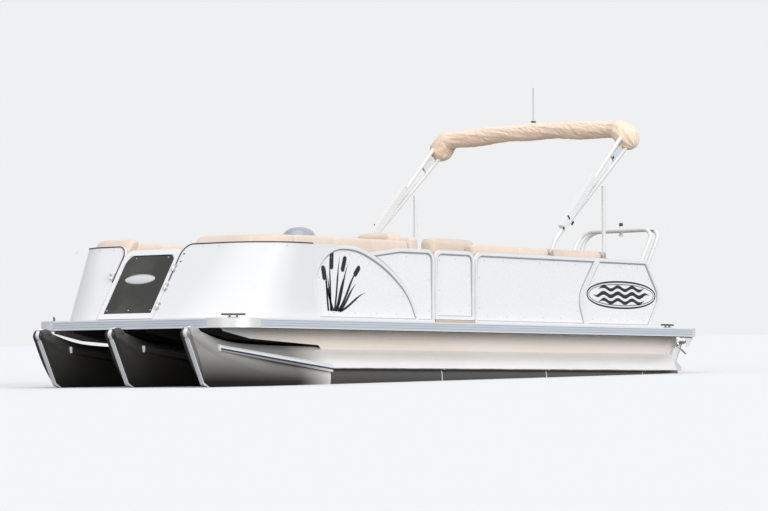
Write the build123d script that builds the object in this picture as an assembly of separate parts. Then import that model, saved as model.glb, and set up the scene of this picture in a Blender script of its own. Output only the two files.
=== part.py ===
"""Tritoon pontoon boat: three tubes, decked platform, fenced cockpit, folded bimini, outboard tilted up."""

import os
from math import sqrt

from build123d import *

os.makedirs("parts", exist_ok=True)

# Lengths are millimetres. +X is the bow, +Y is port, +Z is up, Z = 0 is the underside of the tubes.
# Stations are measured from the middle of the deck; ORIGIN_SHIFT moves them to the middle of the whole boat.
ORIGIN_SHIFT = 696.8
GAP = 0.3
RUN_GAP = 6.0
PIN_FIT = 0.06

# Deck platform
DECK_HALF_L = 3500.0
BEAM_HALF = 1295.0
DECK_TOP = 816.0
DECK_T = 22.0
CROSS_H = 62.0
CROSS_W = 50.0
CROSS_PITCH = 406.0
CROSS_END_ROOM = 228.0
CROSS_COUNT = int(2 * (DECK_HALF_L - CROSS_END_ROOM) / CROSS_PITCH) + 1
RAIL_H = 86.0
RAIL_T = 28.0
RAIL_GROOVES = (20.0, 42.0, 64.0)
RAIL_GROOVE_H = 5.0
RAIL_GROOVE_D = 4.0
BOW_CORNER_R = 305.0
STERN_CORNER_R = 70.0
CAP_PAST_CORNER = 30.0

# Tubes
TUBE_R = 289.0
TUBE_Z = 295.0
KEEL_HALF = 20.0
TUBE_SPACING = 922.0
TUBE_SHORT_OF_DECK = 200.0
TUBE_AFT = -DECK_HALF_L + TUBE_SHORT_OF_DECK
NOSE_START = 2150.0
TUBE_END_ROUND = 45.0
# columns: station, half width, shoulder height, underside, top, half keel, bulge of the side
NOSE_SECTIONS = [
    (2150.0, 289.0, 295.0, 6.7, 584.0, 20.0, 0.207),
    (2290.0, 288.0, 296.0, 8.5, 584.5, 20.0, 0.205),
    (2700.0, 272.0, 312.0, 24.0, 588.0, 20.0, 0.180),
    (3100.0, 214.0, 372.0, 90.0, 604.0, 19.0, 0.130),
    (3400.0, 142.0, 458.0, 190.0, 652.0, 18.0, 0.080),
    (3600.0, 92.0, 560.0, 300.0, 712.0, 17.0, 0.040),
    (3720.0, 62.0, 640.0, 400.0, 735.0, 16.0, 0.020),
]
NOSE_FOOT = (3505.0, 238.0)
NOSE_BROW = (3700.0, 632.0)
NOSE_BULB = (3652.0, 682.0)
NOSE_BULB_R = (84.0, 78.0, 62.0)
NOSE_STRIP_HALF = 20.0
NOSE_STRIP_OUT = 12.0
NOSE_STRIP_IN = 90.0
EYE_AT = (TUBE_AFT - 38.0, TUBE_Z)
EYE_HOLE_R = 13.0
EYE_PLATE_R = 28.0
EYE_PLATE_T = 12.0
# columns: station, reach from the tube's middle, underside, height of the outer face
STRAKE_SECTIONS = [
    (TUBE_AFT + 150.0, 318.0, 374.0, 12.0),
    (2150.0, 318.0, 374.0, 12.0),
]
NOSE_STRAKE_SECTIONS = [
    (2152.0, 322.0, 348.0, 70.0),
    (2850.0, 284.0, 436.0, 60.0),
    (3440.0, 150.0, 528.0, 50.0),
]

# Risers between tubes and cross members
RISER_HALF = 130.0
RISER_T = 6.0
RISER_FORE = 3400.0
RISER_BREAKS = [(3390.0, 704.0), (3040.0, 640.0), (2130.0, 590.0)]

# Fence
FENCE_Y = 1235.0
FENCE_BOTTOM = DECK_TOP + GAP
FENCE_TOP = 1492.0
FENCE_T = 32.0
TUBE_W = 32.0
SKIN_T = 4.0
SKIN_IN = 12.0
OUTLINE_BOTTOM = 806.0
BOW_BASE_X = 3453.3
BOW_TOP_X = 3040.0
BOW_BASE_R = 749.0
BOW_TOP_R = 470.0
WRAP_AFT = 2090.0
WRAP_ROOM_AFT = 2000.0

# Gates
BOW_GATE_Y = (-450.0, 250.0)
BOW_GATE_TOP = 1456.0
BOW_GATE_W = 50.0
BOW_GATE_R = 100.0
BOW_WALL_CORNER_R = 110.0
SIDE_GATE_X = (105.0, 693.0)
SIDE_GATE_BOTTOM = 844.0
STERN_X = -2742.0
STERN_GATE_Y = (-300.0, 300.0)
HINGE_PIN_R = 5.0
HINGE_KNUCKLE_R = 11.0
HINGE_L = 24.0
HINGE_OUT = HINGE_KNUCKLE_R + 1.0

NODES = {}


def put(shape, node):
    """Write one node at its place in the boat's frame."""
    moved = Pos(ORIGIN_SHIFT, 0, 0) * shape
    moved.label = node
    export_step(moved, f"parts/{node}.step")
    NODES[node] = moved


def block(x0, x1, y0, y1, z0, z1):
    """Box from its limits, in either order."""
    middle = Pos((x0 + x1) / 2, (y0 + y1) / 2, (z0 + z1) / 2)
    return middle * Box(abs(x1 - x0), abs(y1 - y0), abs(z1 - z0))


def mirror_y(shape):
    return mirror(shape, about=Plane.XZ)


def one(shape):
    """The largest solid of a shape."""
    return shape.solids().sort_by(SortBy.VOLUME)[-1]


def rod(points, r, bend=0.0):
    """Round bar through points, with bends of one radius at the inner points."""
    path = FilletPolyline(*points, radius=bend) if bend else Polyline(*points)
    start = Plane(origin=path @ 0, z_dir=path % 0)
    return sweep(start * Circle(r), path=path)


def side_outline(points, y0, y1):
    """Prism from an outline in the XZ plane between two Y places."""
    face = make_face(Polyline(*[(x, 0, z) for x, z in points], close=True))
    return Pos(0, y0, 0) * extrude(face, amount=y1 - y0, dir=(0, 1, 0))


def cross_pin(x, y0, y1, z, r):
    """Round pin across the boat."""
    return Pos(x, (y0 + y1) / 2, z) * Rot(90, 0, 0) * Cylinder(r, abs(y1 - y0))


# Tubes

def nose_face(x, half_w, shoulder, low, high, keel, bulge):
    """Section of the nose: arched top, side arcs down to a narrow keel."""
    chord = (keel - half_w, low - shoulder)
    mid = ((half_w + keel) / 2 - chord[1] * bulge, (shoulder + low) / 2 + chord[0] * bulge)
    plane = Plane(origin=(x, 0, 0), x_dir=(0, 1, 0), z_dir=(1, 0, 0))
    with BuildSketch(plane) as section:
        with BuildLine():
            ThreePointArc((-half_w, shoulder), (0, high), (half_w, shoulder))
            ThreePointArc((half_w, shoulder), mid, (keel, low))
            Line((keel, low), (-keel, low))
            ThreePointArc((-keel, low), (-mid[0], mid[1]), (-half_w, shoulder))
        make_face()
    return section.sketch


def strake(sections, side):
    """Lifting fin with an upright outer face and a top that runs back into the tube."""
    faces = []
    for x, reach, low, high in sections:
        plane = Plane(origin=(x, 0, 0), x_dir=(0, 1, 0), z_dir=(1, 0, 0))
        root = reach - 110.0
        points = [(root, low), (reach, low), (reach, low + high), (root, low + high + 14)]
        faces.append(plane * make_face(Polyline(*[(side * y, z) for y, z in points], close=True)))
    return loft(faces, ruled=True)


def tube():
    barrel = Pos(TUBE_AFT, 0, TUBE_Z) * Rot(0, 90, 0) * Cylinder(
        TUBE_R, NOSE_START - TUBE_AFT, align=(Align.CENTER, Align.CENTER, Align.MIN))
    barrel = fillet(barrel.edges().group_by(Axis.X)[0], TUBE_END_ROUND)
    nose = loft([nose_face(*row) for row in NOSE_SECTIONS])
    foot_x, foot_z = NOSE_FOOT
    brow_x, brow_z = NOSE_BROW
    slope = (brow_x - foot_x) / (brow_z - foot_z)
    ahead = [(foot_x - slope * foot_z, 0), (brow_x + slope * 300, brow_z + 300), (4200, brow_z + 300), (4200, 0)]
    nose = nose - side_outline(ahead, -400, 400)
    bulb = Pos(NOSE_BULB[0], 0, NOSE_BULB[1]) * scale(Sphere(1), by=NOSE_BULB_R)
    strip_points = [
        (foot_x - NOSE_STRIP_IN, foot_z - 36), (foot_x, foot_z - 10), (foot_x + NOSE_STRIP_OUT, foot_z),
        (brow_x + NOSE_STRIP_OUT, brow_z), (brow_x - NOSE_STRIP_IN, brow_z),
    ]
    strip = side_outline(strip_points, -NOSE_STRIP_HALF, NOSE_STRIP_HALF)
    keel_aft = TUBE_AFT + TUBE_END_ROUND + 20
    keel_points = [(keel_aft, 30), (keel_aft, 0), (NOSE_START, 0), (NOSE_START + 300, 14), (NOSE_START, 30)]
    keel = side_outline(keel_points, -KEEL_HALF, KEEL_HALF)
    body = barrel + nose + bulb + strip + keel
    for side in (1, -1):
        body = body + strake(STRAKE_SECTIONS, side) + strake(NOSE_STRAKE_SECTIONS, side)
    return one(body)


side_tube = tube()
put(Pos(0, TUBE_SPACING, 0) * side_tube, "tube_port")
put(side_tube, "tube_centre")
put(Pos(0, -TUBE_SPACING, 0) * side_tube, "tube_starboard")


# Risers, cross members, deck

CROSS_TOP = DECK_TOP - DECK_T - GAP
CROSS_BOTTOM = CROSS_TOP - CROSS_H
RISER_TOP = CROSS_BOTTOM - GAP
RAIL_BOTTOM = DECK_TOP - RAIL_H


def riser():
    """Inverted channel that sits over a tube, its fore end cut on a slope."""
    seat = TUBE_Z + sqrt(TUBE_R**2 - RISER_HALF**2)
    aft = TUBE_AFT + 20
    outline = [(aft + 40, seat - 20), (aft, seat + 20), (aft, RISER_TOP), (RISER_FORE, RISER_TOP)]
    outline += RISER_BREAKS + [(RISER_BREAKS[-1][0] - 60, seat - 20)]
    outer = side_outline(outline, -RISER_HALF, RISER_HALF)
    inner_half = RISER_HALF - RISER_T
    inner = block(aft - 50, RISER_FORE + 50, -inner_half, inner_half, 0, RISER_TOP - RISER_T)
    seat_cut = Pos(TUBE_AFT - 50, 0, TUBE_Z) * Rot(0, 90, 0) * Cylinder(
        TUBE_R + GAP, NOSE_START - TUBE_AFT + 200, align=(Align.CENTER, Align.CENTER, Align.MIN))
    return one(outer - inner - seat_cut)


one_riser = riser()
put(Compound([Pos(0, y, 0) * one_riser for y in (TUBE_SPACING, 0.0, -TUBE_SPACING)]), "risers")


def platform_face(inset):
    """Deck plan: large rounded bow corners, small stern corners."""
    outline = Rectangle(2 * (DECK_HALF_L - inset), 2 * (BEAM_HALF - inset))
    outline = fillet(outline.vertices().group_by(Axis.X)[-1], BOW_CORNER_R - inset)
    return fillet(outline.vertices().group_by(Axis.X)[0], STERN_CORNER_R - inset)


first_member = -(CROSS_COUNT - 1) / 2 * CROSS_PITCH
member_zone = Pos(0, 0, CROSS_BOTTOM) * extrude(platform_face(RAIL_T + 8), amount=CROSS_H)
members = []
for i in range(CROSS_COUNT):
    x = first_member + i * CROSS_PITCH
    bar = block(x, x + CROSS_W, -BEAM_HALF, BEAM_HALF, CROSS_BOTTOM - 10, CROSS_TOP + 10)
    members.append(one(bar & member_zone))
put(Compound(members), "cross_members")

put(Pos(0, 0, DECK_TOP - DECK_T) * extrude(platform_face(RAIL_T + GAP), amount=DECK_T), "deck")

ring = extrude(platform_face(0), amount=RAIL_H) - extrude(platform_face(RAIL_T), amount=RAIL_H)
ring = Pos(0, 0, RAIL_BOTTOM) * ring
grooved_ring = ring
for z in RAIL_GROOVES:
    groove = extrude(platform_face(-5), amount=RAIL_GROOVE_H) - extrude(platform_face(RAIL_GROOVE_D), amount=RAIL_GROOVE_H)
    grooved_ring = grooved_ring - Pos(0, 0, RAIL_BOTTOM + z) * groove
cap_bow = BOW_CORNER_R + CAP_PAST_CORNER
cap_stern = STERN_CORNER_R + CAP_PAST_CORNER
reach = 60.0
rails = []
for s in (1, -1):
    zone = block(-DECK_HALF_L + cap_stern, DECK_HALF_L - cap_bow, s * BEAM_HALF - reach, s * BEAM_HALF + reach, 0, 2000)
    rails.append(one(grooved_ring & zone))
put(Compound(rails), "rub_rails")
bow_zone = block(DECK_HALF_L - reach, DECK_HALF_L + reach, -BEAM_HALF + cap_bow, BEAM_HALF - cap_bow, 0, 2000)
put(one(grooved_ring & bow_zone), "bow_trim")
stern_zone = block(-DECK_HALF_L - reach, -DECK_HALF_L + reach, -BEAM_HALF + cap_stern, BEAM_HALF - cap_stern, 0, 2000)
put(one(grooved_ring & stern_zone), "stern_trim")

caps = []
for end, size in ((1, cap_bow - GAP), (-1, cap_stern - GAP)):
    for s in (1, -1):
        zone = block(end * DECK_HALF_L, end * (DECK_HALF_L - size), s * BEAM_HALF, s * (BEAM_HALF - size), 0, 2000)
        caps.append(one(ring & zone))
put(Compound(caps), "corner_caps")


def cleat(x, y, turn):
    """Horned cleat on two feet."""
    feet = [Pos(dx, 0, 14) * Cylinder(9, 28) for dx in (-32, 32)]
    base = Pos(0, 0, 3) * Box(110, 34, 6)
    bar = Pos(0, 0, 32) * Rot(0, 90, 0) * Cylinder(9, 210)
    return Pos(x, y, DECK_TOP + GAP) * Rot(0, 0, turn) * one(bar + feet[0] + feet[1] + base)




def stern_eye(side):
    """Plate with a hole, on a flange at a side tube's aft end."""
    y = side * TUBE_SPACING
    face = TUBE_AFT - GAP
    eye = block(face - 6, face, y - 30, y + 30, TUBE_Z - 40, TUBE_Z + 40)
    eye = eye + block(EYE_AT[0], face, y - EYE_PLATE_T / 2, y + EYE_PLATE_T / 2, TUBE_Z - EYE_PLATE_R, TUBE_Z + EYE_PLATE_R)
    eye = eye + cross_pin(EYE_AT[0], y - EYE_PLATE_T / 2, y + EYE_PLATE_T / 2, TUBE_Z, EYE_PLATE_R)
    return one(eye - cross_pin(EYE_AT[0], y - 50, y + 50, TUBE_Z, EYE_HOLE_R))


fittings = [cleat(DECK_HALF_L - 170, s * (BEAM_HALF - 175), -s * 45) for s in (1, -1)]
fittings += [cleat(-DECK_HALF_L + 380, s * (BEAM_HALF - 115), 0) for s in (1, -1)]
put(Compound(fittings + [stern_eye(s) for s in (1, -1)]), "cleats_and_eyes")


# Bow fence: raked front, rounded corners, straight sides

def bow_front(z):
    """Front station and corner radius of the bow fence at one height."""
    t = (z - FENCE_BOTTOM) / (FENCE_TOP - FENCE_BOTTOM)
    return BOW_BASE_X + t * (BOW_TOP_X - BOW_BASE_X), BOW_BASE_R + t * (BOW_TOP_R - BOW_BASE_R)


def wrap_face(z, inset, aft):
    """Plan of the bow fence at one height."""
    front, r = bow_front(z)
    half = FENCE_Y - inset
    front = front - inset
    r = r - inset
    with BuildSketch(Plane.XY.offset(z)) as plan:
        with BuildLine():
            Line((aft, -half), (front - r, -half))
            RadiusArc((front - r, -half), (front, -half + r), -r)
            Line((front, -half + r), (front, half - r))
            RadiusArc((front, half - r), (front - r, half), -r)
            Line((front - r, half), (aft, half))
            Line((aft, half), (aft, -half))
        make_face()
    return plan.sketch


def wrap_solid(inset, z0=FENCE_BOTTOM, z1=FENCE_TOP, aft=WRAP_AFT):
    return loft([wrap_face(z0, inset, aft), wrap_face(z1, inset, aft)], ruled=True)


def gate_outline(y0, y1, z0, z1, r):
    """Outline seen from ahead, with rounded upper corners, run through the bow fence."""
    face = Pos((y0 + y1) / 2, (z0 + z1) / 2) * Rectangle(y1 - y0, z1 - z0)
    face = fillet(face.vertices().group_by(Axis.Y)[-1], r)
    plane = Plane(origin=(2500, 0, 0), x_dir=(0, 1, 0), z_dir=(1, 0, 0))
    return extrude(plane * face, amount=1500)


# Side fences: outlines in the fence's plane
# columns: station, height, corner radius
ARCH_SKIN = [
    (2322, 838, 10), (2403, 1236, 310), (2141, 1460, 410), (1814, 1460, 800), (1400, 1315, 1500), (1067, 1049, 700),
    (962, 838, 10),
]
FORE = [(1850, OUTLINE_BOTTOM, 0), (1850, 1409, 0), (1200, FENCE_TOP, 600), (700, FENCE_TOP, 110), (700, OUTLINE_BOTTOM, 10)]
AFT_PANEL = [
    (96, OUTLINE_BOTTOM, 10), (96, FENCE_TOP, 110), (-1872, FENCE_TOP, 20), (-1564, 1090, 200), (-1676, OUTLINE_BOTTOM, 10),
]
QUARTER = [
    (-1676, OUTLINE_BOTTOM, 10), (-1564, 1090, 200), (-1872, FENCE_TOP, 20), (-2690, FENCE_TOP, 60), (-2940, 1130, 160),
    (-2730, OUTLINE_BOTTOM, 10),
]
LONG_PANEL = FORE[:3] + AFT_PANEL[2:]
SIDE_GATE = [
    (SIDE_GATE_X[0], SIDE_GATE_BOTTOM, 12), (SIDE_GATE_X[0], FENCE_TOP, 100), (SIDE_GATE_X[1], FENCE_TOP, 100),
    (SIDE_GATE_X[1], SIDE_GATE_BOTTOM, 12),
]


def outline_face(points):
    """Face in the fence's plane with its own radius at each corner."""
    shape = make_face(Polyline(*[(x, z) for x, z, _ in points], close=True))
    for x, z, r in points:
        if r:
            corner = shape.vertices().sort_by_distance((x, z, 0))[0]
            shape = fillet(corner, r)
    return shape


def upright(face, y_face, thick):
    """Slab from a face in the fence's plane, its outer side at one Y place."""
    return Pos(0, y_face, 0) * Rot(90, 0, 0) * extrude(face, amount=thick)


arch_face = offset(outline_face(ARCH_SKIN), amount=TUBE_W)
arch_room = upright(offset(arch_face, amount=GAP), FENCE_Y + 50, 200)
gate_y0 = BOW_GATE_Y[0] - RUN_GAP
gate_y1 = BOW_GATE_Y[1] + RUN_GAP
ahead_plane = Plane(origin=(1500, 0, 0), x_dir=(0, 1, 0), z_dir=(1, 0, 0))


def bow_wall(edge):
    """Port half of the bow fence from the gate's edge aft, its upper corner at the gate rounded."""
    wall = wrap_solid(0) - wrap_solid(FENCE_T, aft=WRAP_ROOM_AFT)
    top = FENCE_TOP + 1
    seen = Pos((edge + 2000) / 2, (top + 500) / 2) * Rectangle(2000 - edge, top - 500)
    corner = seen.vertices().sort_by_distance((edge, top, 0))[0]
    seen = fillet(corner, BOW_WALL_CORNER_R)
    return one((wall & extrude(ahead_plane * seen, amount=2500)) - arch_room)


port_wall = bow_wall(gate_y1)
star_wall = mirror_y(bow_wall(-gate_y0))


# Gate hinges: lugs and pin on the fence, knuckle on the gate

def hinge_set(places, axis_at, axis_dir, out, gate_side):
    """Knuckle for the gate, and lugs with a pin for the fence, at each place along an axis."""
    gate_parts = []
    fence_parts = []
    seat = HINGE_OUT - GAP
    for t in places:
        centre = Vector(*axis_at) + Vector(*axis_dir) * t
        plane = Plane(origin=centre, z_dir=axis_dir, x_dir=out)
        knuckle = plane * Cylinder(HINGE_KNUCKLE_R, HINGE_L)
        tongue = plane * (Pos(-9, gate_side * 12, 0) * Box(8, 24, HINGE_L))
        gate_parts.append((knuckle + tongue) - plane * Cylinder(HINGE_PIN_R + PIN_FIT, 2 * HINGE_L))
        pin = plane * Cylinder(HINGE_PIN_R, 2 * HINGE_L)
        for dz in (-HINGE_L, HINGE_L):
            lug = plane * (Pos(0, 0, dz) * Cylinder(HINGE_KNUCKLE_R, HINGE_L - 2 * 1.0))
            tab = plane * (Pos(-seat / 2 - 2.5, -gate_side * 14, dz) * Box(seat - 5, 28, HINGE_L - 2 * 1.0))
            pin = pin + lug + tab
        fence_parts.append(one(pin))
    return gate_parts, fence_parts


rake = Vector(BOW_TOP_X - BOW_BASE_X, 0, FENCE_TOP - FENCE_BOTTOM).normalized()
rake_out = Vector(rake.Z, 0, -rake.X)
bow_axis = Vector(BOW_BASE_X, (BOW_GATE_Y[1] + gate_y1) / 2, FENCE_BOTTOM) + rake_out * HINGE_OUT
bow_knuckles, bow_lugs = hinge_set((135, 335, 535), bow_axis, rake, rake_out, -1)

gate_zone = gate_outline(BOW_GATE_Y[0], BOW_GATE_Y[1], FENCE_BOTTOM + 6, BOW_GATE_TOP, BOW_GATE_R)
in_y0 = BOW_GATE_Y[0] + BOW_GATE_W
in_y1 = BOW_GATE_Y[1] - BOW_GATE_W
in_z0 = FENCE_BOTTOM + 6 + BOW_GATE_W
in_z1 = BOW_GATE_TOP - BOW_GATE_W
window = gate_outline(in_y0, in_y1, in_z0, in_z1, BOW_GATE_R - BOW_GATE_W)
pane_zone = gate_outline(in_y0 + GAP, in_y1 - GAP, in_z0 + GAP, in_z1 - GAP, BOW_GATE_R - BOW_GATE_W)
whole_wall = wrap_solid(0) - wrap_solid(FENCE_T, aft=WRAP_ROOM_AFT)
gate_frame = (whole_wall & gate_zone) - window
for knuckle in bow_knuckles:
    gate_frame = gate_frame + knuckle
put(one(gate_frame), "bow_gate_frame")
pane_wall = wrap_solid(10) - wrap_solid(16, aft=WRAP_ROOM_AFT)
put(one(pane_wall & pane_zone), "bow_gate_panel")
put(one(port_wall), "bow_fence_port")
put(one(star_wall), "bow_fence_starboard")


# Side fences: frame tubes around thin skins

def framed_panel(face, neighbour=None):
    """Frame tube around a thin skin, on the port side; a neighbour's outline cuts both, and its tube serves there."""
    outer = offset(face, amount=-GAP / 2)
    inner = offset(outer, amount=-TUBE_W)
    skin_face = offset(inner, amount=-GAP)
    if neighbour is not None:
        outer = outer - offset(neighbour, amount=GAP)
        inner = inner - offset(neighbour, amount=GAP / 2)
        skin_face = skin_face - offset(neighbour, amount=2 * GAP)
    above_deck = block(-4000, 4000, 0, 2000, FENCE_BOTTOM, 2000)
    frame = upright(outer, FENCE_Y, FENCE_T) - upright(inner, FENCE_Y + 10, FENCE_T + 20)
    return one(frame & above_deck), one(upright(skin_face, FENCE_Y - SKIN_IN, SKIN_T))


arch_panel = framed_panel(arch_face)
quarter_panel = framed_panel(outline_face(QUARTER))
port_panels = [arch_panel, framed_panel(outline_face(FORE), arch_face), framed_panel(outline_face(AFT_PANEL)), quarter_panel]
star_panels = [arch_panel, framed_panel(outline_face(LONG_PANEL), arch_face), quarter_panel]
side_axis = Vector(SIDE_GATE_X[1] + 4, FENCE_Y - FENCE_T - HINGE_OUT, 0)
side_knuckles, side_lugs = hinge_set((980, 1340), side_axis, (0, 0, 1), (0, -1, 0), -1)
put(Compound([p[0] for p in port_panels]), "fence_frame_port")
put(Compound([p[1] for p in port_panels]), "fence_skin_port")
put(Compound([mirror_y(p[0]) for p in star_panels]), "fence_frame_starboard")
put(Compound([mirror_y(p[1]) for p in star_panels]), "fence_skin_starboard")
side_frame, side_skin = framed_panel(outline_face(SIDE_GATE))
for knuckle in side_knuckles:
    side_frame = side_frame + knuckle
put(one(side_frame), "side_gate_frame")
put(side_skin, "side_gate_panel")

# Stern fence and gate
STERN_TOP = FENCE_TOP - 2
stern_axis = Vector(STERN_X + FENCE_T + HINGE_OUT, STERN_GATE_Y[0] - RUN_GAP / 2, 0)
stern_knuckles, stern_lugs = hinge_set((980, 1340), stern_axis, (0, 0, 1), (1, 0, 0), 1)
stern_parts = []
for s in (1, -1):
    y0 = s * (STERN_GATE_Y[1] + RUN_GAP)
    y1 = s * (FENCE_Y - FENCE_T - GAP)
    stern_parts.append(block(STERN_X, STERN_X + FENCE_T, y0, y1, FENCE_BOTTOM, STERN_TOP))
put(Compound(stern_parts), "stern_fence")
stern_gate = block(STERN_X, STERN_X + FENCE_T, STERN_GATE_Y[0], STERN_GATE_Y[1], FENCE_BOTTOM + 6, STERN_TOP)
for knuckle in stern_knuckles:
    stern_gate = stern_gate + knuckle
put(one(stern_gate), "stern_gate")
put(Compound(bow_lugs + side_lugs + stern_lugs), "gate_hinges")


# Lounges
# columns: aft end, fore end, inner side, outer side, port 1 or starboard -1, top of the back
LOUNGES = [
    (1000.0, 2900.0, 560.0, 1185.0, 1, 1552.0),
    (1000.0, 2900.0, 620.0, 1185.0, -1, 1552.0),
    (-2080.0, 60.0, 560.0, 1185.0, 1, 1566.0),
    (-2690.0, -1050.0, 560.0, 1185.0, -1, 1600.0),
]
END_BACK_X = (850.0, 990.0)
END_BACK_TOP = 1600.0
HEAD_ROLL = (900.0, 1085.0, 1525.0, 1645.0)
REAR_LOAF = (-2690.0, -2000.0, 1000.0, 1185.0, 1590.0, 1715.0)
BASE_H = 330.0
SEAT_T = 140.0
BACK_T = 150.0
CUSHION_GAP = 6.0


def bow_room(inset, high):
    """Space inside the bow fence, a set distance in from it."""
    return wrap_solid(FENCE_T + inset, FENCE_BOTTOM - 40, high, 800)


bases = []
seats = []
backs = []
base_top = DECK_TOP + BASE_H
seat_low = base_top + GAP
for x0, x1, inner, outer, side, top in LOUNGES:
    base = block(x0, x1, side * inner, side * outer, DECK_TOP + GAP, base_top)
    seat = block(x0, x1, side * inner, side * (outer - BACK_T - CUSHION_GAP), seat_low, base_top + SEAT_T)
    back = block(x0, x1, side * (outer - BACK_T), side * outer, seat_low, top)
    if x1 > WRAP_AFT:
        base = base + block(END_BACK_X[0], x0 + 1, side * inner, side * outer, DECK_TOP + GAP, base_top)
        roll = block(*HEAD_ROLL[:2], side * (inner + 30), side * (outer - BACK_T - 20), *HEAD_ROLL[2:])
        roll = fillet(roll.edges().filter_by(Axis.Y), 50)
        end_back = block(*END_BACK_X, side * inner, side * outer, seat_low, END_BACK_TOP)
        backs.append(one(fillet(end_back.edges().filter_by(Axis.Y).group_by(Axis.Z)[-1], 40) + roll))
        edge = BOW_GATE_Y[1] + 40 if side > 0 else -BOW_GATE_Y[0] + 40
        far = block(x0, 4000, side * edge, side * 2000, seat_low, top)
        base = base & bow_room(12, top)
        seat = seat & bow_room(BACK_T + 20, top)
        back = (bow_room(14, top) - bow_room(14 + BACK_T, top + 50)) & far
    if side < 0 and x1 < 0:
        loaf = block(REAR_LOAF[0], REAR_LOAF[1], -REAR_LOAF[2], -REAR_LOAF[3], REAR_LOAF[4], REAR_LOAF[5])
        back = back + fillet(loaf.edges().filter_by(Axis.X), 45)
    bases.append(one(base))
    seats.append(one(seat))
    backs.append(one(back))
put(Compound(bases), "lounge_bases")
put(Compound(seats), "lounge_seats")
put(Compound(backs), "lounge_backs")


# Helm
HELM_Y = -780.0
CONSOLE = [(250, DECK_TOP + GAP), (250, 1240), (310, 1500), (420, 1590), (700, 1560), (800, 1400), (820, DECK_TOP + GAP)]
WHEEL_C = (205.0, 1430.0)
WHEEL_R = 180.0
WHEEL_TILT = -76.0
SHAFT_R = 12.0
console = side_outline(CONSOLE, HELM_Y - 390, HELM_Y + 320)
console = fillet(console.edges().filter_by(Axis.Y).sort_by(Axis.Z)[2:], 40)
wheel_place = Pos(WHEEL_C[0], HELM_Y, WHEEL_C[1]) * Rot(0, WHEEL_TILT, 0)
column = wheel_place * Pos(0, 0, -75) * Cylinder(42, 90)
console = console + column - wheel_place * Pos(0, 0, -60) * Cylinder(SHAFT_R + PIN_FIT, 80)
put(one(console), "helm_console")
# columns: station, height of the screen's side view
SCREEN = [(600, 1540), (590, 1690), (500, 1742), (400, 1786), (330, 1793), (280, 1762), (262, 1640), (262, 1540)]
SCREEN_R = 290.0
SCREEN_T = 6.0
SCREEN_AT = (262.0, HELM_Y, 1700.0)
screen = Pos(*SCREEN_AT) * (Cylinder(SCREEN_R, 400) - Cylinder(SCREEN_R - SCREEN_T, 410))
screen = screen & side_outline(SCREEN, HELM_Y - 400, HELM_Y + 400)
console_room = side_outline([(0, 1590.3), (420, 1590.3), (700, 1560.3), (700, 1000), (0, 1000)], HELM_Y - 500, HELM_Y + 500)
put(one(screen - console_room), "windscreen")

wheel = Torus(WHEEL_R, 14)
for k in range(3):
    wheel = wheel + Rot(0, 0, 90 + 120 * k) * (Pos(WHEEL_R / 2, 0, 0) * Box(WHEEL_R, 26, 8))
wheel = wheel + Pos(0, 0, 6) * Cylinder(36, 34)
wheel = wheel + Pos(0, 0, -50) * Cylinder(SHAFT_R, 90)
put(wheel_place * wheel, "steering_wheel")

CHAIR = (-440.0, HELM_Y)
SPIGOT_R = 24.0
CHAIR_TOP = 1720.0
post_top = DECK_TOP + 340.0
pedestal = Pos(CHAIR[0], CHAIR[1], DECK_TOP + GAP + 8) * Cylinder(190, 16)
pedestal = pedestal + Pos(CHAIR[0], CHAIR[1], (DECK_TOP + post_top) / 2) * Cylinder(45, post_top - DECK_TOP - 2)
pedestal = pedestal + Pos(CHAIR[0], CHAIR[1], post_top + 20) * Cylinder(SPIGOT_R, 60)
put(pedestal, "chair_pedestal")
chair_x0 = CHAIR[0] - 265
chair_x1 = CHAIR[0] + 265
seat_z = post_top + 1.0
chair = block(chair_x0, chair_x1, CHAIR[1] - 265, CHAIR[1] + 265, seat_z, seat_z + 150)
chair = chair + block(chair_x0, chair_x0 + 140, CHAIR[1] - 250, CHAIR[1] + 250, seat_z + 140, CHAIR_TOP)
for s in (1, -1):
    chair = chair + block(chair_x0 + 60, chair_x1 - 60, CHAIR[1] + s * 200, CHAIR[1] + s * 265, seat_z + 140, seat_z + 300)
chair = chair - Pos(CHAIR[0], CHAIR[1], seat_z + 25) * Cylinder(SPIGOT_R + PIN_FIT, 60)
put(one(chair), "chair_seat")


# Bimini, folded aft on its braces
BIMINI_BASE = (-1113.0, 1530.0)
BIMINI_HALF = FENCE_Y - FENCE_T / 2
KNEE = (-1168.0, 1641.0)
LEG_TOP = (-2345.0, 2790.0)
PROP_LEG = [(-1175.0, 1650.0), (-2415.0, 2665.0)]
BOOT_END = (-2400.0, 2735.0)
BOOT_MID_Z = 2862.0
BOOT_HALF = (105.0, 88.0)
BOOT_PAST = 80.0
LEG_R = 21.0
BRACE_X = -1977.0
BRACE_PIVOT_Z = 1530.0
BRACE_TOP = 2215.0
BRACE_R = 20.0
EYE_HALF = 8.0
EYE_R = 15.0
CHEEK_T = 6.0
PIVOT_R = 6.0


def boot(grow):
    """Arched roll of canvas across the boat."""
    ends = [(BOOT_END[0], s * (BIMINI_HALF + BOOT_PAST), BOOT_END[1]) for s in (-1, 1)]
    path = ThreePointArc(ends[0], (BOOT_END[0], 0, BOOT_MID_Z), ends[1])
    plane = Plane(origin=path @ 0, x_dir=(1, 0, 0), z_dir=path % 0)
    return sweep(plane * Ellipse(BOOT_HALF[0] + grow, BOOT_HALF[1] + grow), path=path)


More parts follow.
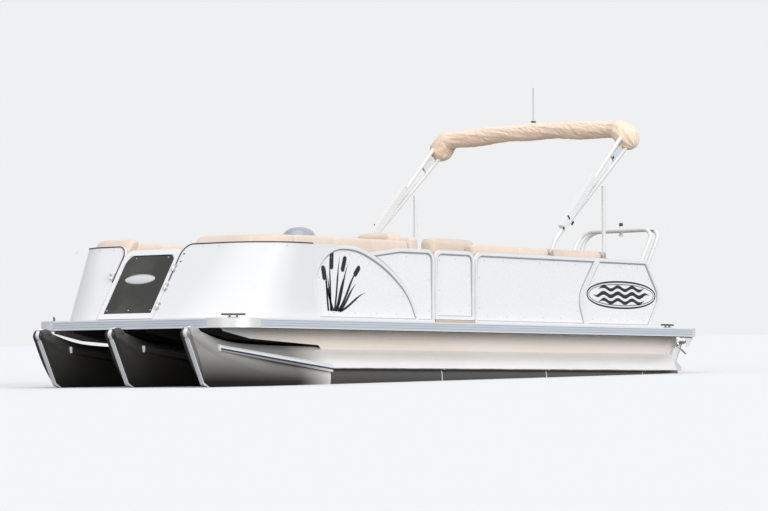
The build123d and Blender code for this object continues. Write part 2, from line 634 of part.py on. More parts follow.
def pivot_mount(x, z):
    """Base on the fence's top rail, with two cheeks and a pin."""
    low = FENCE_TOP + GAP
    side = EYE_HALF + 1.0
    mount = block(x - 34, x + 34, BIMINI_HALF - side - CHEEK_T, BIMINI_HALF + side + CHEEK_T, low, low + 6)
    for s in (1, -1):
        y0 = BIMINI_HALF + s * side
        cheek = block(x - EYE_R, x + EYE_R, y0, y0 + s * CHEEK_T, low, z) + cross_pin(x, y0, y0 + s * CHEEK_T, z, EYE_R)
        mount = mount + cheek
    half = side + CHEEK_T
    return one(mount + cross_pin(x, BIMINI_HALF - half, BIMINI_HALF + half, z, PIVOT_R))


def pivot_end(tube_shape, x, z):
    """Tube with its lower end flattened into an eye for the pivot pin."""
    clear = block(x - 60, x + 60, BIMINI_HALF - 60, BIMINI_HALF + 60, z - 60, z + 22)
    end = one(tube_shape - clear)
    end = end + block(x - 13, x + 10, BIMINI_HALF - EYE_HALF, BIMINI_HALF + EYE_HALF, z, z + 44)
    end = end + cross_pin(x, BIMINI_HALF - EYE_HALF, BIMINI_HALF + EYE_HALF, z, EYE_R)
    return one(end - cross_pin(x, 0, 2000, z, PIVOT_R + PIN_FIT))


def leg_plate(points, half):
    return side_outline(points, BIMINI_HALF - half, BIMINI_HALF + half)


put(boot(0), "bimini_boot")
bx, bz = BIMINI_BASE
leg = rod([(bx, BIMINI_HALF, bz), (KNEE[0], BIMINI_HALF, KNEE[1]), (LEG_TOP[0], BIMINI_HALF, LEG_TOP[1])], LEG_R, 60)
leg = leg + rod([(x, BIMINI_HALF, z) for x, z in PROP_LEG], LEG_R)
leg = leg + leg_plate([(-1255, 1796), (-1305, 1744), (-1845, 2272), (-1795, 2324)], 24)
leg = leg + leg_plate([(-2095, 2530), (-2140, 2575), (-2270, 2640), (-2290, 2560), (-2160, 2450)], 8)
leg = leg - boot(GAP)
leg = pivot_end(leg, bx, bz)
put(Compound([leg, mirror_y(leg)]), "bimini_hoops")

brace = rod([(BRACE_X, BIMINI_HALF, BRACE_PIVOT_Z), (BRACE_X, BIMINI_HALF, BRACE_TOP)], BRACE_R)
brace = pivot_end(brace, BRACE_X, BRACE_PIVOT_Z)
put(Compound([brace, mirror_y(brace)]), "bimini_braces")
mounts = [pivot_mount(bx, bz), pivot_mount(BRACE_X, BRACE_PIVOT_Z)]
put(Compound(mounts + [mirror_y(m) for m in mounts]), "bimini_mounts")
light_base = Pos(BOOT_END[0] - 20, 0, BOOT_MID_Z + BOOT_HALF[1])
light = light_base * Pos(0, 0, 4) * Cylinder(26, 16) + light_base * Pos(0, 0, 180) * Cylinder(8, 350)
put(one(light - boot(GAP)), "anchor_light")


# Tow bar: two raked hoops joined by plates
TOW_PITCH = 126.0
TOW_FEET = (-DECK_HALF_L + 320.0, -DECK_HALF_L + 320.0 - TOW_PITCH)
TOW_HALF = 475.0
TOW_RAKE = 705.0
TOW_TOP = 1885.0
TOW_R = 21.0
KNOB_R = 22.0
tow = None
for x in TOW_FEET:
    points = [(x, -TOW_HALF, DECK_TOP + 10), (x - TOW_RAKE, -TOW_HALF, TOW_TOP), (x - TOW_RAKE, TOW_HALF, TOW_TOP),
              (x, TOW_HALF, DECK_TOP + 10)]
    hoop = rod(points, TOW_R, 150)
    tow = hoop if tow is None else tow + hoop
tow = tow - block(-4200, -3000, -700, 700, DECK_TOP - 60, DECK_TOP + 10)
for s in (1, -1):
    tow = tow + block(TOW_FEET[1] - 70, TOW_FEET[0] + 50, s * TOW_HALF - 40, s * TOW_HALF + 40, DECK_TOP + GAP, DECK_TOP + 12)
top_x = (TOW_FEET[0] + TOW_FEET[1]) / 2 - TOW_RAKE
plate_half = (TOW_FEET[0] - TOW_FEET[1]) / 2
for y in (-380.0, 0.0, 380.0):
    tow = tow + block(top_x - plate_half, top_x + plate_half, y - 30, y + 30, TOW_TOP - 5, TOW_TOP + 5)
tow = tow + Pos(top_x, 0, TOW_TOP - 30) * Cylinder(KNOB_R, 60)
put(one(tow), "tow_bar")
put(Pos(top_x, 0, TOW_TOP + 5 + GAP + 38) * Cylinder(20, 76), "tow_bar_light")


# Outboard on its pod, tilted up
POD_L = 580.0
POD_X = (TUBE_AFT - POD_L, TUBE_AFT)
POD_HALF = 330.0
POD_BOTTOM = 330.0
TILT = (POD_X[0] - 80.0, 800.0)
REST_TILT = 56.0
STEER_X = -60.0
PROP = (-470.0, -920.0)
TILT_PIN_R = 14.0
STEER_PIN_R = 12.0
PROP_SHAFT_R = 10.0
HUB_L = 100.0
pod = side_outline([(POD_X[0], POD_BOTTOM + 120), (POD_X[0], RAIL_BOTTOM - GAP), (POD_X[1], RAIL_BOTTOM - GAP),
                    (POD_X[1], POD_BOTTOM), (POD_X[0] + 260, POD_BOTTOM)], -POD_HALF, POD_HALF)
pod = pod + block(-DECK_HALF_L + RAIL_T + 6, POD_X[1], -POD_HALF, POD_HALF, RAIL_BOTTOM - 10, CROSS_BOTTOM - GAP)
put(one(pod), "motor_pod")


def motor_box(x0, x1, half, z0, z1):
    """Box measured from the tilt axis, with the outboard upright."""
    return block(x0, x1, -half, half, z0, z1)


def tilted(shape):
    """Outboard drawn upright, then turned about its tilt axis to where it parks."""
    return Pos(TILT[0], 0, TILT[1]) * Rot(0, REST_TILT, 0) * shape


back_x = POD_X[0] - TILT[0] - GAP
bracket = block(back_x - 22, back_x, -95, 95, -330, 28)
for s in (1, -1):
    bracket = bracket + block(-30, back_x, s * 75, s * 95, -330, 28)
bracket = bracket - cross_pin(0, -200, 200, 0, TILT_PIN_R + PIN_FIT)
put(Pos(TILT[0], 0, TILT[1]) * bracket, "motor_bracket")
swivel = Pos(STEER_X, 0, -150) * Cylinder(38, 360) + motor_box(STEER_X, 20, 28, -300, 20)
swivel = swivel + cross_pin(0, -70, 70, 0, 26) + cross_pin(0, -100, 100, 0, TILT_PIN_R)
swivel = swivel + Pos(STEER_X, 0, -155) * Cylinder(STEER_PIN_R, 450)
put(tilted(swivel), "motor_swivel")

# columns: height, half length, half width
LEG_SECTIONS = [(88.0, 100.0, 62.0), (-300.0, 92.0, 48.0), (-700.0, 88.0, 26.0), (-920.0, 95.0, 22.0)]
leg_faces = [Plane.XY.offset(z) * Pos(-205, 0) * Ellipse(half_l, half_w) for z, half_l, half_w in LEG_SECTIONS]
leg_body = loft(leg_faces, ruled=True) & block(-400, STEER_X - 46, -200, 200, -1000, 100)
leg_body = leg_body + motor_box(-220, -30, 46, 38, 88) + motor_box(-220, -30, 34, -382, -336)
leg_body = leg_body + motor_box(-430, -106, 92, -742, -730)
case_place = Pos(-210, 0, PROP[1])
leg_body = leg_body + case_place * scale(Sphere(1), by=(235, 54, 54))
leg_body = leg_body + case_place * Pos(-95, 0, 0) * Rot(0, 90, 0) * Cylinder(48, 220)
leg_body = leg_body & motor_box(PROP[0] + HUB_L / 2 + RUN_GAP, 100, 300, -1200, 200)
skeg = side_outline([(-150, -940), (-300, -940), (-310, -1110), (-250, -1130)], -6, 6)
leg_body = leg_body + skeg - Pos(STEER_X, 0, -150) * Cylinder(STEER_PIN_R + PIN_FIT, 600)
leg_body = leg_body + Pos(-430, 0, PROP[1]) * Rot(0, 90, 0) * Cylinder(PROP_SHAFT_R, 180)
put(tilted(one(leg_body)), "motor_leg")

# columns: height, half length, half width
COWL_SECTIONS = [(88.0 + GAP, 190.0, 120.0), (180.0, 232.0, 160.0), (420.0, 225.0, 158.0), (560.0, 150.0, 105.0)]
cowl_faces = []
for z, half_l, half_w in COWL_SECTIONS:
    face = Rectangle(2 * half_l, 2 * half_w)
    face = fillet(face.vertices(), half_w * 0.6)
    cowl_faces.append(Plane.XY.offset(z) * Pos(-185, 0) * face)
put(tilted(loft(cowl_faces, ruled=True)), "motor_cowl")

BLADE_R = 168.0
BLADE_PITCH = 32.0
prop_place = Pos(PROP[0], 0, PROP[1]) * Rot(0, 90, 0)
prop = prop_place * Cylinder(42, HUB_L)
for k in range(3):
    blade = Pos(BLADE_R / 2 + 12, 0, -3.5) * Rot(BLADE_PITCH, 0, 0) * extrude(Ellipse(BLADE_R / 2 - 12, 62), amount=7)
    prop = prop + prop_place * Rot(0, 0, 120 * k) * blade
prop = prop - prop_place * Cylinder(PROP_SHAFT_R + PIN_FIT, 200)
put(tilted(one(prop)), "propeller")

total = Compound(list(NODES.values())).bounding_box()
limits = [round(v, 1) for v in (total.min.X, total.max.X, total.min.Y, total.max.Y, total.min.Z, total.max.Z)]
print("nodes", len(NODES), "limits", limits)
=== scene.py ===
"""Looks of the pontoon boat: finishes, upholstery, canvas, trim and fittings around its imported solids."""

from itertools import product
from math import atan2, copysign, cos, exp, pi, radians, sin, sqrt

import bpy
import numpy as np
from mathutils import Matrix, Vector, noise


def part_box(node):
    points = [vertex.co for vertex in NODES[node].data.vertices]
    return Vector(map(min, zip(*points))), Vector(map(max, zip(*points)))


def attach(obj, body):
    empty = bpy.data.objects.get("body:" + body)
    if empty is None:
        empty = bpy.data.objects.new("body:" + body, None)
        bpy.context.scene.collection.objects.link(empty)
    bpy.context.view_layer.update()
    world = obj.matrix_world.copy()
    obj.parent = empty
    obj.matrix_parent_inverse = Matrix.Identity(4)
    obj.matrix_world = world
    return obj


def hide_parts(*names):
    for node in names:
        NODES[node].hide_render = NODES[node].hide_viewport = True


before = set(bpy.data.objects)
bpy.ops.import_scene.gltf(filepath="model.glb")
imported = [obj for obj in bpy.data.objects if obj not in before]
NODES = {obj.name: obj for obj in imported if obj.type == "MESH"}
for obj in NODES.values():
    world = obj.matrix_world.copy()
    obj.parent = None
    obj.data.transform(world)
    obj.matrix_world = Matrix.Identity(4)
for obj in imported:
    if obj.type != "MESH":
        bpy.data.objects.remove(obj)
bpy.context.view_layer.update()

# Lengths are metres. Stations along the boat are measured from the middle of its deck.
DECK_LOW, DECK_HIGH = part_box("deck")
MIDSHIP = (DECK_LOW.x + DECK_HIGH.x) / 2
DECK_TOP = DECK_HIGH.z

# Bow fence, as the solids have it
FENCE_Y = 1.235
FENCE_LOW = 0.8163
FENCE_TOP = 1.492
FENCE_T = 0.032
BOW_BASE_X = 3.4533
BOW_TOP_X = 3.040
BOW_BASE_R = 0.749
BOW_TOP_R = 0.470
GATE_PORT = 0.250
GATE_STARBOARD = -0.450
SKIN_FACE_Y = 1.223
TUBE_PITCH = 0.922
RISER_HALF = 0.130
WELDS = (2.152, 0.565, -1.042, -2.645)
RAIL_GROOVES = (-0.0635, -0.0415, -0.0195)
SIDES = ((1, "port"), (-1, "starboard"))


# Finishes


def add_node(tree, kind, sockets, output=0, **values):
    """Adds a node and gives one of its outputs. A socket takes a value or another node's output."""
    node = tree.nodes.new(kind)
    for key, value in values.items():
        setattr(node, key, value)
    for socket, value in sockets.items():
        if isinstance(value, bpy.types.NodeSocket):
            tree.links.new(value, node.inputs[socket])
        else:
            node.inputs[socket].default_value = value
    return node.outputs[output]


def split_look(tree, rays, lit, seen, surface):
    """These two kinds of rays meet what is seen, and all others what lights the boat."""
    first, second = (add_node(tree, "ShaderNodeLightPath", {}, f"Is {ray} Ray") for ray in rays)
    looks = add_node(tree, "ShaderNodeMath", {0: first, 1: second}, operation="MAXIMUM")
    mix = add_node(tree, "ShaderNodeMixShader", {"Fac": looks, 1: lit, 2: seen})
    tree.links.new(mix, surface.inputs["Surface"])


def dim(colour, share):
    return tuple(c * share for c in colour)


class Finish:
    """A material built up from one shader and patterns in the object's own coordinates."""

    def __init__(self, name, colour, roughness, metallic=0.0, coat=0.0, sheen=0.0, specular=0.5):
        self.material = bpy.data.materials.new(name)
        self.material.use_nodes = True
        self.tree = self.material.node_tree
        self.shader = self.tree.nodes["Principled BSDF"]
        self.colour = (*colour, 1.0)
        for socket, value in (
            ("Base Color", self.colour),
            ("Roughness", roughness),
            ("Metallic", metallic),
            ("Coat Weight", coat),
            ("Coat Roughness", 0.08),
            ("Sheen Weight", sheen),
            ("Specular IOR Level", specular),
        ):
            self.shader.inputs[socket].default_value = value
        self.place = self.add("ShaderNodeTexCoord", {}, "Object")
        self.height = None

    def add(self, kind, sockets, output=0, **values):
        return add_node(self.tree, kind, sockets, output, **values)

    def feed(self, out, socket):
        """Leads a node's output to the shader."""
        self.tree.links.new(out, self.shader.inputs[socket])
        return self

    def axis(self, name):
        """One coordinate on its own."""
        return self.add("ShaderNodeSeparateXYZ", {0: self.place}, name)

    def noise(self, scale, detail=3.0, stretch=(1, 1, 1)):
        """Cloudy pattern, its coordinates stretched along each axis."""
        place = self.add("ShaderNodeMapping", {"Vector": self.place, "Scale": stretch})
        return self.add("ShaderNodeTexNoise", {"Scale": scale, "Detail": detail, "Vector": place}, "Fac")

    def wave(self, scale, direction, profile="SIN"):
        sockets = {"Scale": scale, "Vector": self.place}
        return self.add("ShaderNodeTexWave", sockets, "Fac", bands_direction=direction, wave_profile=profile)

    def cells(self, scale):
        return self.add("ShaderNodeTexVoronoi", {"Scale": scale, "Vector": self.place}, "Distance")

    def ramp(self, value, low, high, out_low=0.0, out_high=1.0):
        """The value's range low to high, brought to another range and held there."""
        sockets = {"Value": value, "From Min": low, "From Max": high, "To Min": out_low, "To Max": out_high}
        return self.add("ShaderNodeMapRange", sockets, "Result")

    def sum(self, a, b, operation="ADD"):
        return self.add("ShaderNodeMath", {0: a, 1: b}, operation=operation)

    def less(self, a, b):
        return self.sum(a, b, "SUBTRACT")

    def times(self, a, b):
        return self.sum(a, b, "MULTIPLY")

    def off(self, value, middle=0.0):
        """How far a value lies from a middle one."""
        return self.sum(self.less(value, middle), 0.0, "ABSOLUTE")

    def mixed(self, share, other):
        """Brings another colour in where share is high."""
        base = self.shader.inputs["Base Color"]
        before = base.links[0].from_socket if base.is_linked else self.colour
        sockets = {"Factor": share, "A": before, "B": (*other, 1.0)}
        return self.feed(self.add("ShaderNodeMix", sockets, "Result", data_type="RGBA"), "Base Color")

    def tint(self, scale, other, low=0.4, high=0.7, stretch=(1, 1, 1), strength=1.0):
        return self.mixed(self.ramp(self.noise(scale, 3.0, stretch), low, high, 0.0, strength), other)

    def rough(self, scale, low, high, stretch=(1, 1, 1)):
        return self.feed(self.ramp(self.noise(scale, 4.0, stretch), 0.3, 0.7, low, high), "Roughness")

    def bump(self, value, distance, strength=1.0):
        """Adds a pattern to the surface's relief."""
        sockets = {"Strength": strength, "Distance": distance, "Height": value}
        if self.height is not None:
            sockets["Normal"] = self.height
        self.height = self.add("ShaderNodeBump", sockets)
        return self.feed(self.height, "Normal")


def tube_aluminium():
    """Rolled sheet, bright above the spray line, with welds and a bright stem strip. Below the spray line the
    colour is a painted reflection of dark water, and the noses and the inboard faces carry painted shade."""
    made = Finish("tube_aluminium", (0.97, 0.955, 0.93), 0.36, metallic=0.12)
    made.tint(2.2, (0.86, 0.83, 0.79), stretch=(0.4, 1, 2.5), strength=0.4)
    across = made.axis("Y")
    forward = made.less(made.axis("X"), MIDSHIP)
    level = made.sum(made.axis("Z"), made.times(made.noise(7.0, 3.0, (0.8, 1.0, 0.3)), 0.012))
    # Painted reflection of dark water: below the spray line, aft of the noses, the tube is coloured dark.
    below = made.times(made.ramp(level, 0.394, 0.388), made.ramp(forward, 2.155, 2.145))
    made.mixed(below, (0.10, 0.095, 0.088))
    # Painted shade over the noses, darker from the seam forward.
    made.mixed(made.times(made.ramp(forward, 2.15, 2.60), 0.85), (0.24, 0.23, 0.215))
    # Painted shade and reflection on the noses, darkest near the water.
    painted_nose_shade = made.times(made.ramp(level, 0.50, 0.27, 0.0, 0.98), made.ramp(forward, 2.15, 2.55, 0.25, 1.0))
    made.mixed(painted_nose_shade, (0.020, 0.019, 0.016))
    for station in WELDS:
        made.mixed(made.ramp(made.off(forward, station), 0.007, 0.004), (0.86, 0.85, 0.83))
    # Painted shade on the tubes' inboard faces towards the bow, between the tubes and under the deck.
    outward = made.sum(across, made.less(made.times(across, -1.0), 0.15), "MAXIMUM")
    inboard = made.less(outward, made.ramp(forward, 1.2, 2.0, -9.0, 0.0))
    made.mixed(made.ramp(inboard, TUBE_PITCH + 0.01, TUBE_PITCH - 0.05, 0.0, 0.95), (0.022, 0.021, 0.018))
    half = TUBE_PITCH / 2
    middle = made.off(made.off(made.off(across), half), half)
    stem = made.times(made.ramp(middle, 0.0222, 0.0212), made.ramp(forward, 2.9, 3.0))
    made.mixed(stem, (0.86, 0.88, 0.92))
    made.rough(11.0, 0.28, 0.44, (0.6, 1, 2))
    made.bump(made.noise(1.4, 2.0), 0.004, 0.4)
    made.bump(made.noise(18.0, 3.0, (0.3, 1, 1)), 0.0006, 0.3)
    return made.material


def sheet_aluminium(name, colour, rough, metallic=0.75):
    """Plain extruded or folded aluminium."""
    made = Finish(name, colour, rough, metallic=metallic)
    made.tint(2.0, dim(colour, 0.88), stretch=(0.3, 1, 1.5), strength=0.5)
    made.rough(9.0, rough - 0.03, rough + 0.04, (0.2, 1, 3))
    made.bump(made.noise(12.0, 1.0, (0.08, 1, 1)), 0.0003, 0.12)
    return made


def rail_aluminium():
    """Bluish anodised extrusion with a paler lower lip, a painted highlight along its top lip and painted
    shade in its grooves.
    """
    made = sheet_aluminium("anodised_rail", (0.70, 0.76, 0.83), 0.34, 0.35)
    level = made.less(made.axis("Z"), DECK_TOP)
    # Painted highlight along the top lip.
    made.mixed(made.ramp(level, -0.014, -0.011), (0.93, 0.94, 0.95))
    made.mixed(made.ramp(level, -0.078, -0.081), (0.88, 0.90, 0.92))
    # Painted shade in the grooves.
    for groove in RAIL_GROOVES:
        made.mixed(made.ramp(made.off(level, groove), 0.0035, 0.0028, 0.0, 0.75), (0.48, 0.54, 0.63))
    return made.material


def riser_sheet():
    """Folded sheet, whiter at its fore end, with painted shade on its inboard faces."""
    made = Finish("riser_skin", (0.98, 0.90, 0.83), 0.45, metallic=0.05)
    made.tint(2.5, (0.90, 0.80, 0.72), stretch=(0.3, 1, 2), strength=0.5)
    made.mixed(made.ramp(made.axis("X"), MIDSHIP + 2.97, MIDSHIP + 3.0), (0.90, 0.91, 0.92))
    # Painted shade on the inboard faces, under the deck between the tubes.
    outer = TUBE_PITCH + RISER_HALF
    inboard = made.ramp(made.off(made.axis("Y")), outer - 0.02, outer - 0.04, 0.0, 0.95)
    made.mixed(inboard, (0.03, 0.028, 0.025))
    made.rough(16.0, 0.34, 0.5, (0.3, 1, 2))
    made.bump(made.noise(3.0, 2.0, (0.5, 1, 1)), 0.002, 0.3)
    return made.material


def gloss_white(name, colour, ripple=0.0, rough=0.28, coat=0.3):
    """Painted sheet with a faint unevenness."""
    made = Finish(name, colour, rough, coat=coat)
    made.tint(1.2, dim(colour, 0.965), low=0.35, high=0.75, strength=0.7)
    made.tint(14.0, (0.70, 0.68, 0.64), low=0.66, high=0.82, stretch=(1, 1, 0.4), strength=0.12)
    made.rough(30.0, rough - 0.08, rough + 0.03)
    if ripple:
        made.bump(made.noise(2.2, 1.0, (1, 1, 0.7)), ripple, 0.6)
    return made.material


def powder_coat(name, colour):
    made = Finish(name, colour, 0.36, coat=0.15)
    made.tint(6.0, dim(colour, 0.93), strength=0.5)
    made.rough(12.0, 0.32, 0.40)
    return made.material


def vinyl(name, colour, shade):
    """Marine vinyl: fine grain, soft sheen, slightly soiled in patches."""
    made = Finish(name, colour, 0.48, sheen=0.12, specular=0.42)
    made.tint(2.4, shade, low=0.42, high=0.75, strength=0.45)
    made.tint(38.0, dim(colour, 0.9), low=0.5, high=0.7, strength=0.35)
    made.rough(18.0, 0.40, 0.56)
    made.bump(made.cells(520.0), 0.0006, 0.35)
    made.bump(made.noise(26.0, 4.0), 0.003, 0.28)
    return made.material


def canvas(name, colour, shade):
    """Woven acrylic canvas."""
    made = Finish(name, colour, 0.86, sheen=0.3, specular=0.2)
    made.tint(3.0, shade, low=0.38, high=0.72, strength=0.6)
    made.tint(70.0, dim(colour, 0.84), low=0.48, high=0.66, strength=0.4)
    made.bump(made.wave(230.0, "X"), 0.0004, 0.4)
    made.bump(made.wave(230.0, "Y"), 0.0004, 0.4)
    made.bump(made.noise(34.0, 4.0, (1, 0.5, 1)), 0.004, 0.4)
    return made.material


def woven_deck():
    """Woven vinyl deck covering."""
    made = Finish("woven_deck", (0.40, 0.34, 0.27), 0.75, specular=0.3)
    made.tint(260.0, (0.22, 0.19, 0.15), low=0.45, high=0.6, strength=0.7)
    made.tint(2.0, (0.46, 0.40, 0.32), strength=0.4)
    made.bump(made.wave(110.0, "X", "SAW"), 0.0008, 0.5)
    made.bump(made.wave(110.0, "Y", "SAW"), 0.0008, 0.5)
    return made.material


def smoked_acrylic():
    """Dark tinted panel with a faint mottled bloom."""
    made = Finish("smoked_acrylic", (0.026, 0.025, 0.022), 0.22, specular=0.35)
    made.tint(3.0, (0.075, 0.070, 0.062), low=0.45, high=0.75, stretch=(1, 1, 0.8), strength=0.8)
    made.rough(9.0, 0.12, 0.24)
    return made.material


def plastic(name, colour, rough=0.42, grain=0.0004):
    made = Finish(name, colour, rough, specular=0.45)
    made.tint(8.0, dim(colour, 0.85), strength=0.5)
    made.rough(25.0, rough - 0.06, rough + 0.08)
    made.bump(made.noise(350.0, 3.0), grain, 0.5)
    return made.material


def steel(name, colour=(0.62, 0.62, 0.62), rough=0.22):
    made = Finish(name, colour, rough, metallic=1.0)
    made.tint(12.0, dim(colour, 0.8), strength=0.5)
    made.rough(60.0, rough - 0.06, rough + 0.12, (1, 1, 4))
    return made.material


def two_tone(name, colour, other, start, end):
    """Moulding that has its own colour at one height and another colour past the other."""
    made = Finish(name, colour, 0.38)
    made.tint(8.0, dim(colour, 0.92), strength=0.4)
    made.mixed(made.ramp(made.axis("Z"), start, end), other)
    made.rough(12.0, 0.32, 0.44)
    return made.material


def glass(name, colour):
    made = Finish(name, colour, 0.06, coat=0.3)
    made.shader.inputs["Transmission Weight"].default_value = 0.25
    made.shader.inputs["IOR"].default_value = 1.45
    made.rough(8.0, 0.03, 0.10)
    return made.material


# Heights between which a moulding changes colour
MAST_TURNS = (2.962, 2.958)
LIGHT_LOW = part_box("tow_bar_light")[0].z
LIGHT_TURNS = (LIGHT_LOW + 0.040, LIGHT_LOW + 0.042)


MAT = {
    "tube": tube_aluminium(),
    "riser": riser_sheet(),
    # Cross members and motor pod are coloured nearly black: painted shade under the deck.
    "member": sheet_aluminium("member_aluminium_painted_shade", (0.045, 0.043, 0.040), 0.6).material,
    "rail": rail_aluminium(),
    "cap": sheet_aluminium("cast_cap", (0.80, 0.80, 0.80), 0.40, 0.35).material,
    "cleat": sheet_aluminium("cleat_metal", (0.17, 0.15, 0.135), 0.4).material,
    # Grey bead that also stands in for the shadow in the skins' recesses.
    "bead": plastic("grey_bead_and_shadow", (0.42, 0.43, 0.45), 0.4),
    "strip": gloss_white("pale_strake_highlight", (0.80, 0.84, 0.90)),
    "edge_shadow": plastic("painted_strake_shadow", (0.035, 0.04, 0.06), 0.5),
    "outboard": gloss_white("pearl_paint", (0.74, 0.745, 0.75)),
    "pale_canvas": canvas("pale_fabric", (0.70, 0.74, 0.80), (0.62, 0.66, 0.72)),
    "panel": gloss_white("white_panel", (0.885, 0.90, 0.925), 0.0012),
    "wrap": gloss_white("white_wrap", (0.805, 0.815, 0.83), 0.0020, 0.55, 0.05),
    "frame": powder_coat("white_frame", (0.85, 0.855, 0.87)),
    "vinyl": vinyl("tan_vinyl", (0.745, 0.62, 0.52), (0.67, 0.54, 0.44)),
    "vinyl_light": vinyl("cream_vinyl", (0.84, 0.74, 0.62), (0.77, 0.66, 0.54)),
    "canvas": canvas("tan_canvas", (0.97, 0.77, 0.61), (0.89, 0.69, 0.53)),
    "deck": woven_deck(),
    "smoked": smoked_acrylic(),
    "shell": plastic("lounge_shell", (0.60, 0.49, 0.38), 0.5),
    "console": plastic("console_shell", (0.66, 0.57, 0.46), 0.36),
    "black": plastic("black_plastic", (0.022, 0.022, 0.024), 0.5),
    "grip": plastic("wheel_grip", (0.03, 0.03, 0.032), 0.6, 0.0008),
    "gasket": plastic("black_gasket", (0.018, 0.018, 0.018), 0.7),
    "hoop": powder_coat("bimini_white", (0.80, 0.80, 0.79)),
    "steel": steel("stainless"),
    "brushed": steel("brushed_steel", (0.55, 0.55, 0.56), 0.32),
    "ink": plastic("dark_film", (0.014, 0.016, 0.024), 0.4),
    "ink_grey": plastic("grey_film", (0.16, 0.17, 0.19), 0.4),
    "plate": powder_coat("pale_plate", (0.66, 0.67, 0.67)),
    "mast": two_tone("mast_white", (0.62, 0.62, 0.62), (0.025, 0.025, 0.027), *MAST_TURNS),
    "light": two_tone("light_white", (0.78, 0.78, 0.77), (0.020, 0.020, 0.022), *LIGHT_TURNS),
    "glass": glass("smoked_screen", (0.42, 0.45, 0.50)),
}


NODE_FINISH = {
    "tube": ("tube_port", "tube_centre", "tube_starboard"),
    "riser": ("risers",),
    "member": ("cross_members", "motor_pod"),
    "rail": ("rub_rails", "bow_trim", "stern_trim"),
    "cap": ("corner_caps",),
    "steel": ("chair_pedestal", "bimini_mounts", "propeller"),
    "cleat": ("cleats_and_eyes",),
    "brushed": ("gate_hinges",),
    "wrap": ("bow_fence_port", "bow_fence_starboard"),
    "frame": ("bow_gate_frame", "fence_frame_port", "fence_frame_starboard", "side_gate_frame"),
    "panel": ("fence_skin_port", "fence_skin_starboard", "side_gate_panel", "stern_fence", "stern_gate"),
    "smoked": ("bow_gate_panel",),
    "deck": ("deck",),
    "shell": ("lounge_bases",),
    "vinyl": ("lounge_seats", "lounge_backs", "chair_seat"),
    "console": ("helm_console",),
    "glass": ("windscreen",),
    "grip": ("steering_wheel",),
    "canvas": ("bimini_boot",),
    "hoop": ("bimini_hoops", "bimini_braces", "tow_bar"),
    "mast": ("anchor_light",),
    "light": ("tow_bar_light",),
    "outboard": ("motor_bracket", "motor_swivel", "motor_leg", "motor_cowl"),
}
for finish_name, node_names in NODE_FINISH.items():
    for node_name in node_names:
        slots = NODES[node_name].data.materials
        slots.clear()
        slots.append(MAT[finish_name])


# Mesh tools


def smoothstep(x):
    x = np.clip(x, 0.0, 1.0)
    return x * x * (3 - 2 * x)


def to_row(points):
    """Stations from the deck's middle brought to the row frame."""
    moved = np.array(points, float).reshape(-1, 3)
    moved[:, 0] += MIDSHIP
    return moved


class Batch:
    """Collects shapes, then makes them one piece."""

    def __init__(self):
        self.points = []
        self.faces = []
        self.count = 0

    def add(self, points, faces):
        points = np.array(points, float).reshape(-1, 3)
        self.points.append(points)
        self.faces += [tuple(i + self.count for i in face) for face in faces]
        self.count += len(points)
        return self

    def piece(self, name, finish, body, slot, smooth=True, crease=None):
        return piece(name, np.concatenate(self.points), self.faces, finish, body, smooth, crease)


def in_scene(name, data):
    """A new object with its data, in the scene."""
    obj = bpy.data.objects.new(name, data)
    bpy.context.scene.collection.objects.link(obj)
    return obj


def piece(name, points, faces, finish, body, smooth=True, crease=None):
    """A finished mesh in the row frame, riding on its body."""
    mesh = bpy.data.meshes.new(name)
    mesh.from_pydata(to_row(points).tolist(), [], [tuple(f) for f in faces])
    mesh.validate()
    mesh.materials.append(MAT[finish])
    obj = in_scene(name, mesh)
    if smooth:
        mesh.shade_smooth()
    if crease is not None:
        mesh.set_sharp_from_angle(angle=radians(crease))
    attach(obj, body)
    return obj


def finished(obj):
    """Replaces the piece's mesh by what its modifiers make of it."""
    graph = bpy.context.evaluated_depsgraph_get()
    mesh = bpy.data.meshes.new_from_object(obj.evaluated_get(graph))
    obj.modifiers.clear()
    obj.data = mesh
    mesh.shade_smooth()


def turned(faces, when=True):
    """The faces looking the other way."""
    return [face[::-1] for face in faces] if when else faces


def grid_faces(rings, around, closed=False):
    """Quads over rings of points, with a face at either end unless the last ring meets the first."""
    faces = []
    for i in range(rings if closed else rings - 1):
        here, ahead = i * around, (i + 1) % rings * around
        for j in range(around):
            k = (j + 1) % around
            faces.append((here + j, here + k, ahead + k, ahead + j))
    if not closed:
        faces.append(tuple(range(around))[::-1])
        faces.append(tuple((rings - 1) * around + j for j in range(around)))
    return faces


def circle(count):
    """Angles at even steps round a circle."""
    return np.arange(count) / count * 2 * pi


def tube_mesh(path, radius, sides=10, flat=1.0, up=(0.31, 0.17, 0.93), closed=False):
    """Round or flattened bar along a path, with even turning."""
    path = np.array(path, float)
    count = len(path)
    tangents = np.roll(path, -1, 0) - np.roll(path, 1, 0) if closed else np.gradient(path, axis=0)
    tangents /= np.linalg.norm(tangents, axis=1)[:, None]
    side = np.cross(tangents[0], up)
    turn = circle(sides)
    rings = []
    for centre, tangent, r in zip(path, tangents, np.broadcast_to(radius, (count,))):
        side = side - tangent * (side @ tangent)
        side /= np.linalg.norm(side)
        other = np.cross(tangent, side)
        rings.append(centre + r * (np.cos(turn)[:, None] * side + flat * np.sin(turn)[:, None] * other))
    return np.concatenate(rings), grid_faces(count, sides, closed)


